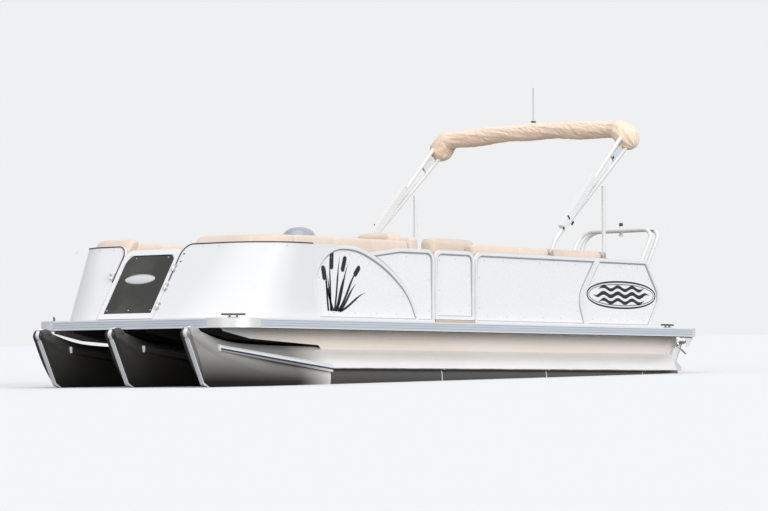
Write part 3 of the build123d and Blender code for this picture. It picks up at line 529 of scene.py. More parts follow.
def block_mesh(low, high, bevel=0.003):
    """Box with chamfered edges. Each corner has three points, one on each of the faces that meet there."""
    low, high = np.minimum(low, high).astype(float), np.maximum(low, high).astype(float)
    draw = min(bevel, (high - low).min() * 0.45)
    corners = [(np.array(corner), axis) for corner in product((-1, 1), repeat=3) for axis in range(3)]
    points = []
    for corner, axis in corners:
        inset = np.where(np.arange(3) == axis, 0.0, draw)
        points.append(np.where(corner > 0, high - inset, low + inset))
    plain = [corner * np.where(np.arange(3) == axis, 1.0, 0.5) for corner, axis in corners]
    faces = []
    for way in product((-1, 0, 1), repeat=3):
        way = np.array(way)
        ring = [i for i, (corner, axis) in enumerate(corners) if way[axis] and not np.any(way * corner < 0)]
        if ring:
            u = np.cross(way, (0.3, 0.5, 0.8))
            v = np.cross(way, u) / sqrt(way @ way)
            faces.append(tuple(sorted(ring, key=lambda i: atan2(plain[i] @ v, plain[i] @ u))))
    return np.array(points), faces


def disc_mesh(centre, normal, radius, thick, sides=20, dome=0.0):
    """Round plate or button that stands on a surface."""
    turn = Vector(normal).normalized().to_track_quat("Z", "Y").to_matrix()
    steps = [(1.0, 0.0), (1.0, thick * 0.7), (0.86, thick)]
    if dome:
        steps += [(0.6, thick + dome * 0.6), (0.3, thick + dome * 0.9)]
    points = []
    for share, height in steps:
        r = radius * share
        points += [Vector(centre) + turn @ Vector((r * cos(a), r * sin(a), height)) for a in circle(sides)]
    return np.array(points), grid_faces(len(steps), sides)


def plate_mesh(outline, plane, thick):
    """Thin flat piece: outline in (x, z), its outer face at one Y place."""
    outline = np.array(outline, float)
    if (loop_area(outline) > 0) != (plane < 0):
        outline = outline[::-1]
    inner = plane - copysign(thick, plane)
    points = [(x, y, z) for y in (inner, plane) for x, z in outline]
    return np.array(points), grid_faces(2, len(outline))


def loop_area(loop):
    """Area inside a loop, below zero where the loop runs clockwise."""
    x, z = loop[:, 0], loop[:, 1]
    return 0.5 * float(np.sum(x * np.roll(z, -1) - np.roll(x, -1) * z))


# Path around the bow fence


def bow_front(z):
    share = (z - FENCE_LOW) / (FENCE_TOP - FENCE_LOW)
    return BOW_BASE_X + share * (BOW_TOP_X - BOW_BASE_X), BOW_BASE_R + share * (BOW_TOP_R - BOW_BASE_R)


def bow_lengths(aft, edge):
    """Lengths of half the fence: its side from a station aft, its corner, its front to the gate's edge."""
    return np.array([2.57 - aft, 0.9, FENCE_Y - 0.6 - edge])


def around_bow(share, z, inset, aft, edge):
    """Point on the fence's plan at a height: share 0 is aft on the port side, 1 is the gate's edge."""
    front, r = bow_front(z)
    front, r, half = front - inset, r - inset, FENCE_Y - inset
    lengths = bow_lengths(aft, edge)
    corner, end = np.cumsum(lengths)[:2] / lengths.sum()
    if share < corner:
        return aft + share / corner * (front - r - aft), half
    if share < end:
        a = (share - corner) / (end - corner) * pi / 2
        return front - r + r * sin(a), half - r + r * cos(a)
    t = (share - end) / (1 - end)
    return front, half - r + t * (edge - (half - r))


# Camera, floor and lamps


def set_camera():
    """The camera stands where the photograph was taken from."""
    data = bpy.data.cameras.new("camera")
    camera = in_scene("camera", data)
    bpy.context.scene.camera = camera
    yaw, pitch, roll = -2.439251, 0.0426565, -0.0018928
    forward = Vector((cos(yaw) * cos(pitch), sin(yaw) * cos(pitch), sin(pitch)))
    right = forward.cross(Vector((0, 0, 1))).normalized()
    up = right.cross(forward)
    across = right * cos(roll) + up * sin(roll)
    upright = up * cos(roll) - right * sin(roll)
    turn = Matrix((across, upright, -forward)).transposed().to_4x4()
    camera.matrix_world = Matrix.Translation((23.69895 + MIDSHIP, 20.07853, 0.170066)) @ turn
    data.sensor_width = 36.0
    data.lens = 149.65
    data.clip_start = 0.5
    data.clip_end = 4000.0


# The boat floats in a plane that falls towards the bow
WATER_AT_MIDSHIP = 0.285
WATER_FALL = 0.0212
FLOOR_REACH = 1500.0


def pale_stage(name, seen, lit):
    """Matt surface that looks pale to the camera, also through glass, and throws less light back up."""
    made = Finish(name, lit, 0.9, specular=0.1)
    made.tint(0.6, dim(lit, 0.97), strength=0.5)
    pale = made.add("ShaderNodeBsdfDiffuse", {"Color": (*seen, 1.0)})
    surface = made.tree.nodes["Material Output"]
    split_look(made.tree, ("Camera", "Transmission"), made.shader.outputs["BSDF"], pale, surface)
    return made.material


def set_stage():
    """Floor at the waterline, out to the horizon."""
    corners = [(x * FLOOR_REACH, y * FLOOR_REACH) for x, y in ((-1, -1), (1, -1), (1, 1), (-1, 1))]
    points = [(x, y, WATER_AT_MIDSHIP - WATER_FALL * x) for x, y in corners]
    mesh = bpy.data.meshes.new("floor")
    mesh.from_pydata(to_row(points).tolist(), [], [(0, 1, 2, 3)])
    mesh.materials.append(pale_stage("pale_floor", (0.80, 0.805, 0.81), (0.22, 0.22, 0.22)))
    in_scene("floor", mesh)


# columns: name, strength, spread in degrees, colour, direction that the light comes from
LAMPS = [
    ("side_key", 1.42, 26, (1.0, 0.985, 0.965), (0.25, 1.0, 0.30)),
    ("bow_key", 0.48, 34, (1.0, 0.985, 0.965), (1.0, 0.35, 0.36)),
    ("overhead", 0.95, 50, (0.97, 0.985, 1.0), (0.10, 0.15, 1.0)),
]


def set_lamps():
    """Even sky, paler to the camera and to gloss, and soft suns."""
    world = bpy.data.worlds.new("studio")
    bpy.context.scene.world = world
    world.use_nodes = True
    tree = world.node_tree
    sky = tree.nodes["Background"]
    sky.inputs["Color"].default_value = (0.93, 0.96, 1.0, 1.0)
    sky.inputs["Strength"].default_value = 0.70
    seen = add_node(tree, "ShaderNodeBackground", {"Color": (0.86, 0.87, 0.88, 1.0), "Strength": 1.0})
    split_look(tree, ("Camera", "Glossy"), sky.outputs[0], seen, tree.nodes["World Output"])
    for name, energy, spread, colour, way in LAMPS:
        light = bpy.data.lights.new(name, "SUN")
        light.energy = energy
        light.angle = radians(spread)
        light.color = colour
        in_scene(name, light).rotation_euler = Vector(way).to_track_quat("Z", "Y").to_euler()
    bpy.context.scene.view_settings.view_transform = "Standard"


set_camera()
set_stage()
set_lamps()


# Upholstery

SEAM_DEPTH = 0.009
CLOTH_FRAMES = 20
CLOTH_REACH = 0.006
CLOTH = {
    "use_pressure": True,
    "quality": 5,
    "tension_stiffness": 18,
    "compression_stiffness": 18,
    "shear_stiffness": 8,
    "bending_stiffness": 0.8,
    "mass": 0.35,
}
SOFT = []


def section_ring(width, height, corner, crown, count=36):
    """Closed outline of a cushion's section, centred and standing on zero: rounded corners, crowned top."""
    half = width / 2
    turn = np.linspace(0, 2 * pi, count, endpoint=False) + pi / count
    c, s = np.cos(turn), np.sin(turn)
    power = (1.0 + corner) / 4
    x = half * np.sign(c) * np.abs(c) ** power
    z = height / 2 * (1 + np.sign(s) * np.abs(s) ** power)
    z = z + crown * np.clip(z / height, 0, 1) ** 2 * (1 - (x / half) ** 2)
    return np.stack([x, z], 1)


def panel_relief(share, seams, bulge, width):
    """How far a sewn cushion stands in or out along its length: in at the seams, out between them."""
    edges = sorted([0.0, *seams, 1.0])
    for a, b in zip(edges, edges[1:]):
        if a <= share <= b:
            middle = bulge * (1 - (2 * (share - a) / (b - a) - 1) ** 4)
            near = min((abs(share - s) for s in seams), default=1.0)
            return middle - SEAM_DEPTH * exp(-((near / width) ** 2))
    return 0.0


def end_shares(length, rounding):
    """Stations along a cushion, closer at its rounded ends, and how far the section draws in at each."""
    turn = np.linspace(0, pi / 2, 6)
    near = [rounding * (1 - cos(a)) for a in turn]
    draw = [rounding * (1 - sin(a)) for a in turn]
    count = max(4, int((length - 2 * rounding) / 0.028))
    inner = list(np.linspace(rounding, length - rounding, count))[1:-1]
    places = near + inner + [length - d for d in near[::-1]]
    return np.array(places) / length, np.array(draw + [0.0] * len(inner) + draw[::-1])


def cushion(name, place, length, section, seams=(), finish="vinyl", body="boat", flip=False,
            rounding=0.035, bulge=0.004):
    """A sewn cushion, noted for the cloth run. place(share, u, v) puts a point of its section along it."""
    shares, draws = end_shares(length, rounding)
    low, high = section.min(0), section.max(0)
    middle, half = (low + high) / 2, (high - low) / 2
    points = []
    for share, draw in zip(shares, draws):
        out = panel_relief(share, seams, bulge, 0.012 / length) - draw
        ring = middle + (section - middle) * np.maximum(1 + out / half, 0.05)
        points += [place(share, u, v) for u, v in ring]
    faces = turned(grid_faces(len(shares), len(section)), flip)
    obj = piece(name, points, faces, finish, body)
    SOFT.append((obj, 4.0))
    return obj


def box_cushion(name, xs, ys, zs, seams=(), across=False, finish="vinyl", body="boat",
                corner=0.5, crown=0.012, rounding=0.035):
    """Plain cushion, sewn along the boat or across it."""
    (x0, x1), (y0, y1), (z0, z1) = xs, ys, zs
    length, width = (y1 - y0, x1 - x0) if across else (x1 - x0, y1 - y0)

    def place(share, u, v):
        if across:
            return (x0 + x1) / 2 - u, y0 + share * length, z0 + v
        return x0 + share * length, (y0 + y1) / 2 + u, z0 + v

    section = section_ring(width, z1 - z0 - crown, corner, crown)
    return cushion(name, place, length, section, seams, finish, body, rounding=rounding)


def run_cloth():
    """Blows up every noted piece a little as cloth, keeps each point near where it was, and applies it."""
    scene = bpy.context.scene
    starts = []
    for obj, pressure in SOFT:
        starts.append(np.array([v.co for v in obj.data.vertices], float))
        cloth = obj.modifiers.new("puff", "CLOTH")
        for key, value in CLOTH.items():
            setattr(cloth.settings, key, value)
        cloth.settings.uniform_pressure_force = pressure
        cloth.settings.effector_weights.gravity = 0
        cloth.point_cache.frame_start = 1
        cloth.point_cache.frame_end = CLOTH_FRAMES
    for step in range(1, CLOTH_FRAMES + 1):
        scene.frame_set(step)
    for (obj, _), start in zip(SOFT, starts):
        graph = bpy.context.evaluated_depsgraph_get()
        step = np.array([v.co for v in obj.evaluated_get(graph).data.vertices], float) - start
        obj.modifiers.clear()
        far = np.linalg.norm(step, axis=1)
        step *= np.minimum(1.0, CLOTH_REACH / np.maximum(far, 1e-9))[:, None]
        obj.data.vertices.foreach_set("co", (start + step).astype(np.float32).ravel())
        obj.data.update()
    scene.frame_set(1)


def finer(obj):
    """One round of subdivision, applied."""
    divide = obj.modifiers.new("finer", "SUBSURF")
    divide.levels = divide.render_levels = 1
    finished(obj)


SEAT_LOW = DECK_TOP + 0.3303
BACK_TOP = 1.560
SEAT_H = 0.1390
BACK_T = 0.150
BOW_AFT = 1.000
LOUNGE_INNER = (0.560, 0.620)


def bow_backs():
    """Back cushions that follow the inside of the bow fence, from the gate round to the side."""
    section = section_ring(BACK_T - 0.004, BACK_TOP - SEAT_LOW, 0.55, 0.012)
    for (side, name), edge in zip(SIDES, (0.300, 0.500)):

        def place(share, u, v, edge=edge, side=side):
            z = SEAT_LOW + v
            x, y = around_bow(share, min(z, 1.60), FENCE_T + 0.016 + BACK_T / 2 + u, BOW_AFT, edge)
            return x, side * y, z

        length = float(bow_lengths(BOW_AFT, edge).sum())
        yield cushion(f"bow_back_{name}", place, length, section, (0.19, 0.38, 0.57, 0.78), flip=side < 0)


def bow_seats():
    """Seats inside the bow, their fore ends following the fence's corner."""
    length = 2.895 - BOW_AFT
    section = section_ring(1.0, SEAT_H - 0.012, 0.5, 0.012, 44)
    front, r = (value - 0.208 for value in bow_front(1.20))
    half = FENCE_Y - 0.208
    for (side, name), inner in zip(SIDES, LOUNGE_INNER):

        def place(share, u, v, side=side, inner=inner):
            x = BOW_AFT + share * length
            reach = half
            if x > front - r:
                reach = half - r + sqrt(max(r * r - (x - front + r) ** 2, 0.0))
            return x, side * (inner + (u + 0.5) * (reach - inner)), SEAT_LOW + v

        yield cushion(f"bow_seat_{name}", place, length, section, (0.34, 0.67), "vinyl_light", flip=side < 0)


def end_backs():
    """Aft end of each bow lounge: a back across it with a roll for the head."""
    for (side, name), inner in zip(SIDES, LOUNGE_INNER):
        near, far = sorted((side * inner, side * 1.185))
        back = ((0.852, 0.988), (near + 0.004, far - 0.004), (SEAT_LOW, 1.604))
        yield box_cushion(f"end_back_{name}", *back, (0.5,), True, corner=0.4)
        roll = ((0.904, 1.085), sorted((side * (inner + 0.030), side * 1.015)), (1.527, 1.647))
        yield box_cushion(f"end_roll_{name}", *roll, (), True, corner=0.75, rounding=0.05)


def headrest():
    """Loaf-shaped headrest on the starboard lounge."""
    section = section_ring(0.190, 0.150, 0.40, 0.022)

    def place(share, u, v):
        return -2.700 + share * 0.700, -1.0925 + u, 1.602 + v

    return cushion("lounge_headrest", place, 0.686, section, rounding=0.05)


# columns: name, stations, places across, top, seams, finish, corner
AFT_CUSHIONS = [
    ("aft_back_port", (-2.076, 0.056), (1.037, 1.181), 1.572, (0.33, 0.66), "vinyl", 0.45),
    ("aft_seat_port", (-2.076, 0.056), (0.564, 1.027), SEAT_LOW + SEAT_H, (0.33, 0.66), "vinyl_light", 0.5),
    ("aft_back_starboard", (-2.686, -1.054), (-1.181, -1.037), 1.600, (0.5,), "vinyl", 0.45),
    ("aft_seat_starboard", (-2.686, -1.054), (-1.027, -0.564), SEAT_LOW + SEAT_H, (0.5,), "vinyl_light", 0.5),
]


def captains_chair():
    """Helm chair: seat, wide back with side wings, two arms."""
    low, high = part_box("chair_seat")
    x0, y, z = low.x - MIDSHIP, (low.y + high.y) / 2, low.z
    body = "captain_chair"
    squab = ((x0 + 0.10, x0 + 0.525), (y - 0.240, y + 0.240), (z + 0.028, z + 0.165))
    yield box_cushion("chair_squab", *squab, (0.5,), False, "vinyl_light", body, crown=0.02)
    tall = high.z - z - 0.162

    def place(share, u, v):
        lean = 0.05 * (v / tall)
        curve = 0.03 * (2 * share - 1) ** 2
        return x0 + 0.075 + u - lean + curve, y - 0.245 + share * 0.490, z + 0.145 + v

    section = section_ring(0.130, tall, 0.55, 0.03)
    yield cushion("chair_back", place, 0.490, section, (0.27, 0.73), "vinyl", body, True, 0.10, 0.008)
    shell = Batch().add(*block_mesh((x0 + 0.06, y - 0.225, z), (x0 + 0.50, y + 0.225, z + 0.030), 0.008))
    for side, name in SIDES:
        middle = y + side * 0.232
        arm = ((x0 + 0.09, x0 + 0.46), (middle - 0.03, middle + 0.03), (z + 0.24, z + 0.30))
        yield box_cushion(f"chair_arm_{name}", *arm, body=body, corner=0.3)
        middle = y + side * 0.228
        low_corner = (x0 + 0.12, middle - 0.018, z + 0.01)
        shell.add(*block_mesh(low_corner, (x0 + 0.40, middle + 0.018, z + 0.243), 0.01))
    shell.add(*block_mesh((x0 + 0.012, y - 0.20, z + 0.01), (x0 + 0.05, y + 0.20, z + tall), 0.012))
    holder = shell.piece("chair_shell", "shell", body, "lounge_shell", crease=35)
    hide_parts("chair_seat")


CUSHIONS = [*bow_backs(), *bow_seats(), *end_backs()]
for cushion_name, stations, places, top, seams, finish, corner in AFT_CUSHIONS:
    made = box_cushion(cushion_name, stations, places, (SEAT_LOW, top), seams, False, finish, corner=corner)
    CUSHIONS.append(made)
CUSHIONS += [headrest(), *captains_chair()]


# Canvas boot of the folded bimini

BOOT_X = -2.400
BOOT_HALF = 1.300


def boot_line(y):
    """Height of the roll's middle: nearly level, bent down at the ends."""
    drop = 0.040 * (y / 1.1) ** 2
    past = max(0.0, abs(y) - 1.10)
    return 2.853 - drop - 1.5 * past**1.35


def canvas_boot():
    """Roll of canvas with the folds of the bimini inside it, gathered at both ends."""
    phases = np.random.default_rng(7).uniform(0, 2 * pi, 8)
    rings, around = 190, 64
    points = []
    for i in range(rings):
        y = -BOOT_HALF + 2 * BOOT_HALF * i / (rings - 1)
        end = max(BOOT_HALF - abs(y), 0.0)
        pinch = sqrt(min(1.0, end / 0.075 + 0.02))
        lumps = 1 + 0.05 * sin(3.1 * y + phases[0]) + 0.035 * sin(7.3 * y + phases[1])
        full = 1 + 0.42 * float(smoothstep((abs(y) - 1.0) / 0.2))
        rx = 0.098 * lumps * pinch * full
        rz = 0.084 * (1 + 0.04 * sin(4.7 * y + phases[2])) * pinch * full
        centre = Vector((BOOT_X - 0.01 * sin(2.2 * y), y, boot_line(y)))
        slope = (boot_line(y + 0.01) - boot_line(y - 0.01)) / 0.02
        up = Vector((1, 0, 0)).cross(Vector((0, 1, slope)).normalized())
        for a in circle(around):
            c, s = cos(a), sin(a)
            fold = noise.fractal(Vector((y * 5.0 + 2.2 * s, c * 0.9 - y * 1.3, s * 0.9)), 0.7, 2.0, 3)
            ridge = 1 - abs(noise.noise(Vector((y * 17.0 + a * 2.2, s * 1.6, c * 1.6)))) * 2
            gather = exp(-end / 0.11) * sin(a * 9 + phases[3]) * 0.008
            r = 1 + 0.050 * fold
            out = 0.0060 * (ridge - 0.5) + gather
            sag = -0.012 * max(0.0, -s) * (1 + 0.6 * sin(9 * y + phases[4]))
            points.append(centre + Vector((c * (rx * r + out), 0, 0)) + up * (s * (rz * r + out) + sag))
    obj = piece("canvas_boot", points, grid_faces(rings, around), "canvas", "bimini")
    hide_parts("bimini_boot")
    SOFT.append((obj, 2.0))
    return obj


BOOT = canvas_boot()

run_cloth()
# The cloth run draws these three in a little, because their faces look inwards until here.
for made in (*CUSHIONS[:2], BOOT):
    made.data.flip_normals()
for made in CUSHIONS:
    finer(made)
finer(BOOT)
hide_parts("lounge_backs")
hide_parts("lounge_seats")


# Gaskets and edge trim of the bow fence


def gaskets():
    """Along each free edge of the bow fence: up beside the gate, round its corner, over the top and aft."""
    strips = Batch()
    front, r = bow_front(FENCE_TOP)
    for side, edge in ((1, GATE_PORT), (-1, -GATE_STARBOARD)):
        start = edge + 0.006
        low = FENCE_TOP - 0.11
        places = [(start, z) for z in np.linspace(1.16, low, 6)]
        turn = np.linspace(0.15, pi / 2 - 0.05, 8)
        places += [(start + 0.11 * (1 - cos(a)), low + 0.11 * sin(a)) for a in turn]
        places += [(y, FENCE_TOP) for y in np.linspace(start + 0.13, FENCE_Y - r, 5)]
        path = [(bow_front(z)[0], y, z) for y, z in places]
        turn = np.linspace(0.08, pi / 2, 18)
        path += [(front - r + r * cos(a), FENCE_Y - r + r * sin(a), FENCE_TOP) for a in turn]
        path += [(x, FENCE_Y, FENCE_TOP) for x in np.linspace(front - r - 0.05, 2.412, 5)]
        strips.add(*tube_mesh(np.array(path) * (1, side, 1) + (0, 0, 0.003), 0.0055, 8))
    strips.piece("bow_gaskets", "gasket", "boat", "black_plastic")


gaskets()


# Screws and rivets, placed by a node tree


def fastener_tree():
    """Sets a domed head at each point, turned to the point's own direction."""
    tree = bpy.data.node_groups.new("heads_on_points", "GeometryNodeTree")
    made = []
    for name, way, kind in (
        ("Geometry", "INPUT", "Geometry"),
        ("Head Radius", "INPUT", "Float"),
        ("Head Height", "INPUT", "Float"),
        ("Finish", "INPUT", "Material"),
        ("Geometry", "OUTPUT", "Geometry"),
    ):
        made.append(tree.interface.new_socket(name, in_out=way, socket_type=f"NodeSocket{kind}"))
    start = tree.nodes.new("NodeGroupInput").outputs
    end = tree.nodes.new("NodeGroupOutput")
    radius = start["Head Radius"]
    ball = add_node(tree, "GeometryNodeMeshUVSphere", {"Segments": 10, "Rings": 6})
    scale = add_node(tree, "ShaderNodeCombineXYZ", {"X": radius, "Y": radius, "Z": start["Head Height"]})
    shape = add_node(tree, "GeometryNodeTransform", {"Geometry": ball, "Scale": scale})
    kind = "GeometryNodeInputNamedAttribute"
    way = add_node(tree, kind, {"Name": "way"}, "Attribute", data_type="FLOAT_VECTOR")
    turn = add_node(tree, "FunctionNodeAlignRotationToVector", {"Vector": way}, axis="Z")
    sockets = {"Points": start["Geometry"], "Instance": shape, "Rotation": turn}
    onto = add_node(tree, "GeometryNodeInstanceOnPoints", sockets)
    real = add_node(tree, "GeometryNodeRealizeInstances", {"Geometry": onto})
    paint = add_node(tree, "GeometryNodeSetMaterial", {"Geometry": real, "Material": start["Finish"]})
    tree.links.new(paint, end.inputs["Geometry"])
    return tree, [socket.identifier for socket in made[1:4]]


HEADS = fastener_tree()


def heads(name, places, body, finish="brushed", radius=0.0055, height=0.0028):
    """Fastener heads at (point, direction) places, as one plain mesh."""
    tree, settings = HEADS
    mesh = bpy.data.meshes.new(name)
    mesh.from_pydata(to_row([p for p, _ in places]).tolist(), [], [])
    way = mesh.attributes.new("way", "FLOAT_VECTOR", "POINT")
    way.data.foreach_set("vector", np.array([d for _, d in places], np.float32).ravel())
    obj = in_scene(name, mesh)
    nodes = obj.modifiers.new("heads", "NODES")
    nodes.node_group = tree
    for setting, value in zip(settings, (radius, height, MAT[finish])):
        nodes[setting] = value
    finished(obj)
    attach(obj, body)


def face_loops(node, y, slack=0.0006):
    """Outlines of a node's flat faces at one Y place, each a closed path of stations and heights."""
    mesh = NODES[node].data
    used = {}
    for polygon in mesh.polygons:
        corners = [mesh.vertices[i].co for i in polygon.vertices]
        if all(abs(c.y - y) < slack for c in corners):
            keys = [(round(c.x - MIDSHIP, 4), round(c.z, 4)) for c in corners]
            for a, b in zip(keys, keys[1:] + keys[:1]):
                if (b, a) in used:
                    del used[b, a]
                elif a != b:
                    used[a, b] = True
    after = {}
    for a, b in used:
        after.setdefault(a, []).append(b)
    loops = []
    while after:
        first = next(iter(after))
        path = [first]
        while path[-1] in after:
            ahead = after[path[-1]].pop()
            if not after[path[-1]]:
                del after[path[-1]]
            if ahead == first:
                break
            path.append(ahead)
        if len(path) > 3:
            loops.append(np.array(path))
    return loops


def even_loop(loop, pitch):
    """The loop's points at even steps."""
    closed = np.concatenate([loop, loop[:1]])
    lengths = np.concatenate([[0], np.cumsum(np.linalg.norm(np.diff(closed, axis=0), axis=1))])
    count = max(8, round(lengths[-1] / pitch))
    at = np.arange(count) / count * lengths[-1]
    return np.stack([np.interp(at, lengths, places) for places in closed.T], 1)


def inset_points(loop, inset, pitch):
    """Places inside a loop at a set distance from its edge."""
    fine = even_loop(loop, 0.01)
    ahead = np.roll(fine, -1, 0) - np.roll(fine, 1, 0)
    ahead /= np.linalg.norm(ahead, axis=1)[:, None]
    inward = np.stack([-ahead[:, 1], ahead[:, 0]], 1) * copysign(1.0, loop_area(loop))
    places = (fine + inward * inset)[:: max(1, round(pitch / 0.01))]
    return [p for p in places if np.linalg.norm(fine - p, axis=1).min() > inset * 0.9]


RIVET_Z = FENCE_TOP - 0.028
# columns: name, side, node, body
SKINS = [
    ("port", 1, "fence_skin_port", "boat"),
    ("starboard", -1, "fence_skin_starboard", "boat"),
    ("side_gate", 1, "side_gate_panel", "side_gate"),
]


def dress_skins():
    """Grey bead round each skin, which also paints the shadow of the skin's recess and so is heavier along
    its top, and screws inside its edge.
    """
    for name, side, node, body in SKINS:
        plane = side * SKIN_FACE_Y
        shadow_beads = Batch()
        places = []
        for loop in face_loops(node, plane):
            if abs(loop_area(loop)) < 0.02:
                continue
            path = even_loop(loop, 0.02)
            # Painted shadow: the bead widens towards the top of the skin, where the recess's shadow falls
            # widest.
            radius = 0.0075 + 0.0075 * smoothstep((path[:, 1] - 1.0) / 0.35)
            points = np.insert(path, 1, plane + side * 0.001, axis=1)
            shadow_beads.add(*tube_mesh(points, radius, 8, 0.45, (0, 1, 0), closed=True))
            places += [((x, plane, z), (0, side, 0)) for x, z in inset_points(loop, 0.045, 0.29)]
        if body == "boat":
            places += [((x, side * FENCE_Y, RIVET_Z), (0, side, 0)) for x in (2.93, 2.75)]
        shadow_beads.piece(f"skin_beads_and_shadow_{name}", "bead", body, "black_plastic")
        heads(f"panel_screws_{name}", places, body)


dress_skins()


# Sleeves and straps on the bimini's legs

LEG_WAY = np.array((-0.7155, 0.6986))
LEG_ACROSS = np.array((-0.6986, -0.7155))
SLEEVE = [(-1.255, 1.796), (-1.305, 1.744), (-1.845, 2.272), (-1.795, 2.324)]
STRAP = [(-2.095, 2.530), (-2.140, 2.575), (-2.270, 2.640), (-2.290, 2.560), (-2.160, 2.450)]


# columns: station, height, length, width, place outboard, thickness of the small dark parts on each leg
LEG_CLIPS = [
    (-1.362, 1.878, 0.020, 0.050, 1.2478, 0.0012),
    (-1.425, 1.822, 0.050, 0.022, 1.2478, 0.0040),
    (-1.280, 1.770, 0.022, 0.022, 1.2500, 0.0034),
    (-2.128, 2.508, 0.034, 0.020, 1.2325, 0.0024),
]


def leg_fittings():
    """White cover on each flat sleeve with its dark clips, and a pale strap between the legs' tops."""
    cover, strap, dark = Batch(), Batch(), Batch()
    for side in (1, -1):
        cover.add(*plate_mesh(SLEEVE, side * 1.2465, 0.003))
        strap.add(*plate_mesh(STRAP, side * 1.2300, 0.0025))
        for x, z, length, width, y, thick in LEG_CLIPS:
            way, over = LEG_WAY * length / 2, LEG_ACROSS * width / 2
            outline = [(x, z) + a * way + b * over for a, b in ((-1, -1), (1, -1), (1, 1), (-1, 1))]
            dark.add(*plate_mesh(outline, side * y, thick))
    cover.piece("sleeve_covers", "frame", "bimini", "bimini_tube", smooth=False)
    strap.piece("leg_straps", "pale_canvas", "bimini", "bimini_tube", smooth=False)
    dark.piece("leg_clips", "black", "bimini", "black_plastic", smooth=False)


leg_fittings()


# Fittings on the bow gate, in the raked plane

RAKE = atan2(BOW_BASE_X - BOW_TOP_X, FENCE_TOP - FENCE_LOW)
OUT = np.array((cos(RAKE), 0.0, sin(RAKE)))
UP = np.array((-sin(RAKE), 0.0, cos(RAKE)))


def on_rake(y, z, lift=0.0):
    """Place on the raked front at a height, stood off from it."""
    return np.array((bow_front(z)[0], y, z)) + OUT * lift


def oval_on_rake(spot, half_w, half_h):
    """Flat oval outline in the raked plane."""
    return [spot + UP * (half_h * sin(a)) + np.array((0, half_w * cos(a), 0)) for a in circle(48)]


PLATE_AT = (-0.128, 1.189)
CATCH_Y = -0.484


def gate_fittings():
    """Blank plate, corners and screws on the smoked pane, catch and buttons beside it."""
    front = on_rake(0.0, 1.2) + (MIDSHIP, 0, 0)
    pane = max(float(OUT @ (np.array(v.co) - front)) for v in NODES["bow_gate_panel"].data.vertices)
    thick = 0.003
    plate = []
    for share, height in ((1.0, 0.0), (1.0, thick * 0.5), (0.965, thick)):
        plate += oval_on_rake(on_rake(*PLATE_AT, pane + height), 0.186 * share, 0.052 * share)
    Batch().add(plate, grid_faces(3, 48)).piece("blank_plate", "plate", "bow_gate", "stainless", crease=40)
    rim = oval_on_rake(on_rake(*PLATE_AT, pane + thick), 0.178, 0.046)
    rim = Batch().add(*tube_mesh(rim, 0.0022, 6, closed=True))
    rim.piece("plate_rim", "brushed", "bow_gate", "stainless")
    corners = Batch()
    top, size = 1.4085, 0.088
    for edge, inward in ((-0.402, 1), (0.202, -1)):
        turn = np.linspace(0.08, pi / 2 - 0.08, 9)
        rim = [(edge, top), (edge, top - size)]
        rim += [(edge + inward * size * (1 - cos(a)), top - size * (1 - sin(a))) for a in turn]
        rim.append((edge + inward * size, top))
        spots = [on_rake(y, z, pane + lift) for lift in (0.0003, 0.0018) for y, z in rim]
        corners.add(spots, turned(grid_faces(2, len(rim)), inward < 0))
    corners.piece("pane_corners", "frame", "bow_gate", "white_frame", smooth=False)
    places = [(y, 0.905) for y in (-0.375, -0.105, 0.170)] + [(y, 1.385) for y in (-0.290, 0.110)]
    heads("pane_screws", [(on_rake(y, z, pane), OUT) for y, z in places], "bow_gate", "brushed", 0.008, 0.004)
    low = on_rake(CATCH_Y, 1.185)
    ring = [UP * u + (0, v, 0) for u, v in ((0, -0.018), (0, 0.018), (0.075, 0.018), (0.075, -0.018))]
    spots = [low + OUT * lift + corner for lift in (0.001, 0.022) for corner in ring]
    catch = Batch().add(spots, grid_faces(2, 4))
    catch.piece("gate_catch", "frame", "boat", "white_frame", smooth=False)
    knob = Batch().add(*disc_mesh(on_rake(CATCH_Y, 1.222, 0.022), OUT, 0.013, 0.014, 20, 0.004))
    knob.piece("catch_knob", "brushed", "boat", "stainless", crease=40)
    buttons = [(on_rake(0.300, z), OUT) for z in (1.405, 1.335)]
    heads("wall_buttons", buttons, "boat", "gasket", 0.010, 0.004)
    heads("wall_rivets", [(on_rake(y, RIVET_Z), OUT) for y in (0.50, 0.70, -0.62, -0.80)], "boat")


gate_fittings()


# Gauges, throttle and catches

HELM_Y = -0.780
DASH_OUT = np.array((-0.6333, 0.0, 0.7739))


def helm_fittings():
    """Round gauges on the dash, throttle beside the wheel."""
    rims, faces = Batch(), Batch()
    for y, r in ((-0.150, 0.042), (0.0, 0.050), (0.150, 0.042)):
        spot = np.array((0.365, HELM_Y + y, 1.545)) + DASH_OUT * 0.0005
        rims.add(*disc_mesh(spot, DASH_OUT, r, 0.006, 32))
        faces.add(*disc_mesh(spot + DASH_OUT * 0.0062, DASH_OUT, r * 0.82, 0.001, 32))
    throttle = Batch().add(*block_mesh((0.205, HELM_Y + 0.225, 1.300), (0.262, HELM_Y + 0.305, 1.400), 0.008))
    bends = ((0.232, 1.392), (0.220, 1.440), (0.196, 1.490), (0.186, 1.512))
    lever = [(x, HELM_Y + 0.265, z) for x, z in bends]
    throttle.add(*tube_mesh(lever, 0.010, 12))
    throttle.add(*disc_mesh((0.186, HELM_Y + 0.240, 1.512), (0, 1, 0), 0.019, 0.050, 20, 0.004))
    rims.piece("gauge_rims", "brushed", "boat", "stainless", crease=40)
    faces.piece("gauge_faces", "black", "boat", "black_plastic", crease=40)
    throttle.piece("throttle", "black", "boat", "black_plastic", crease=35)


helm_fittings()


# Windscreen: a low blown bubble on the console


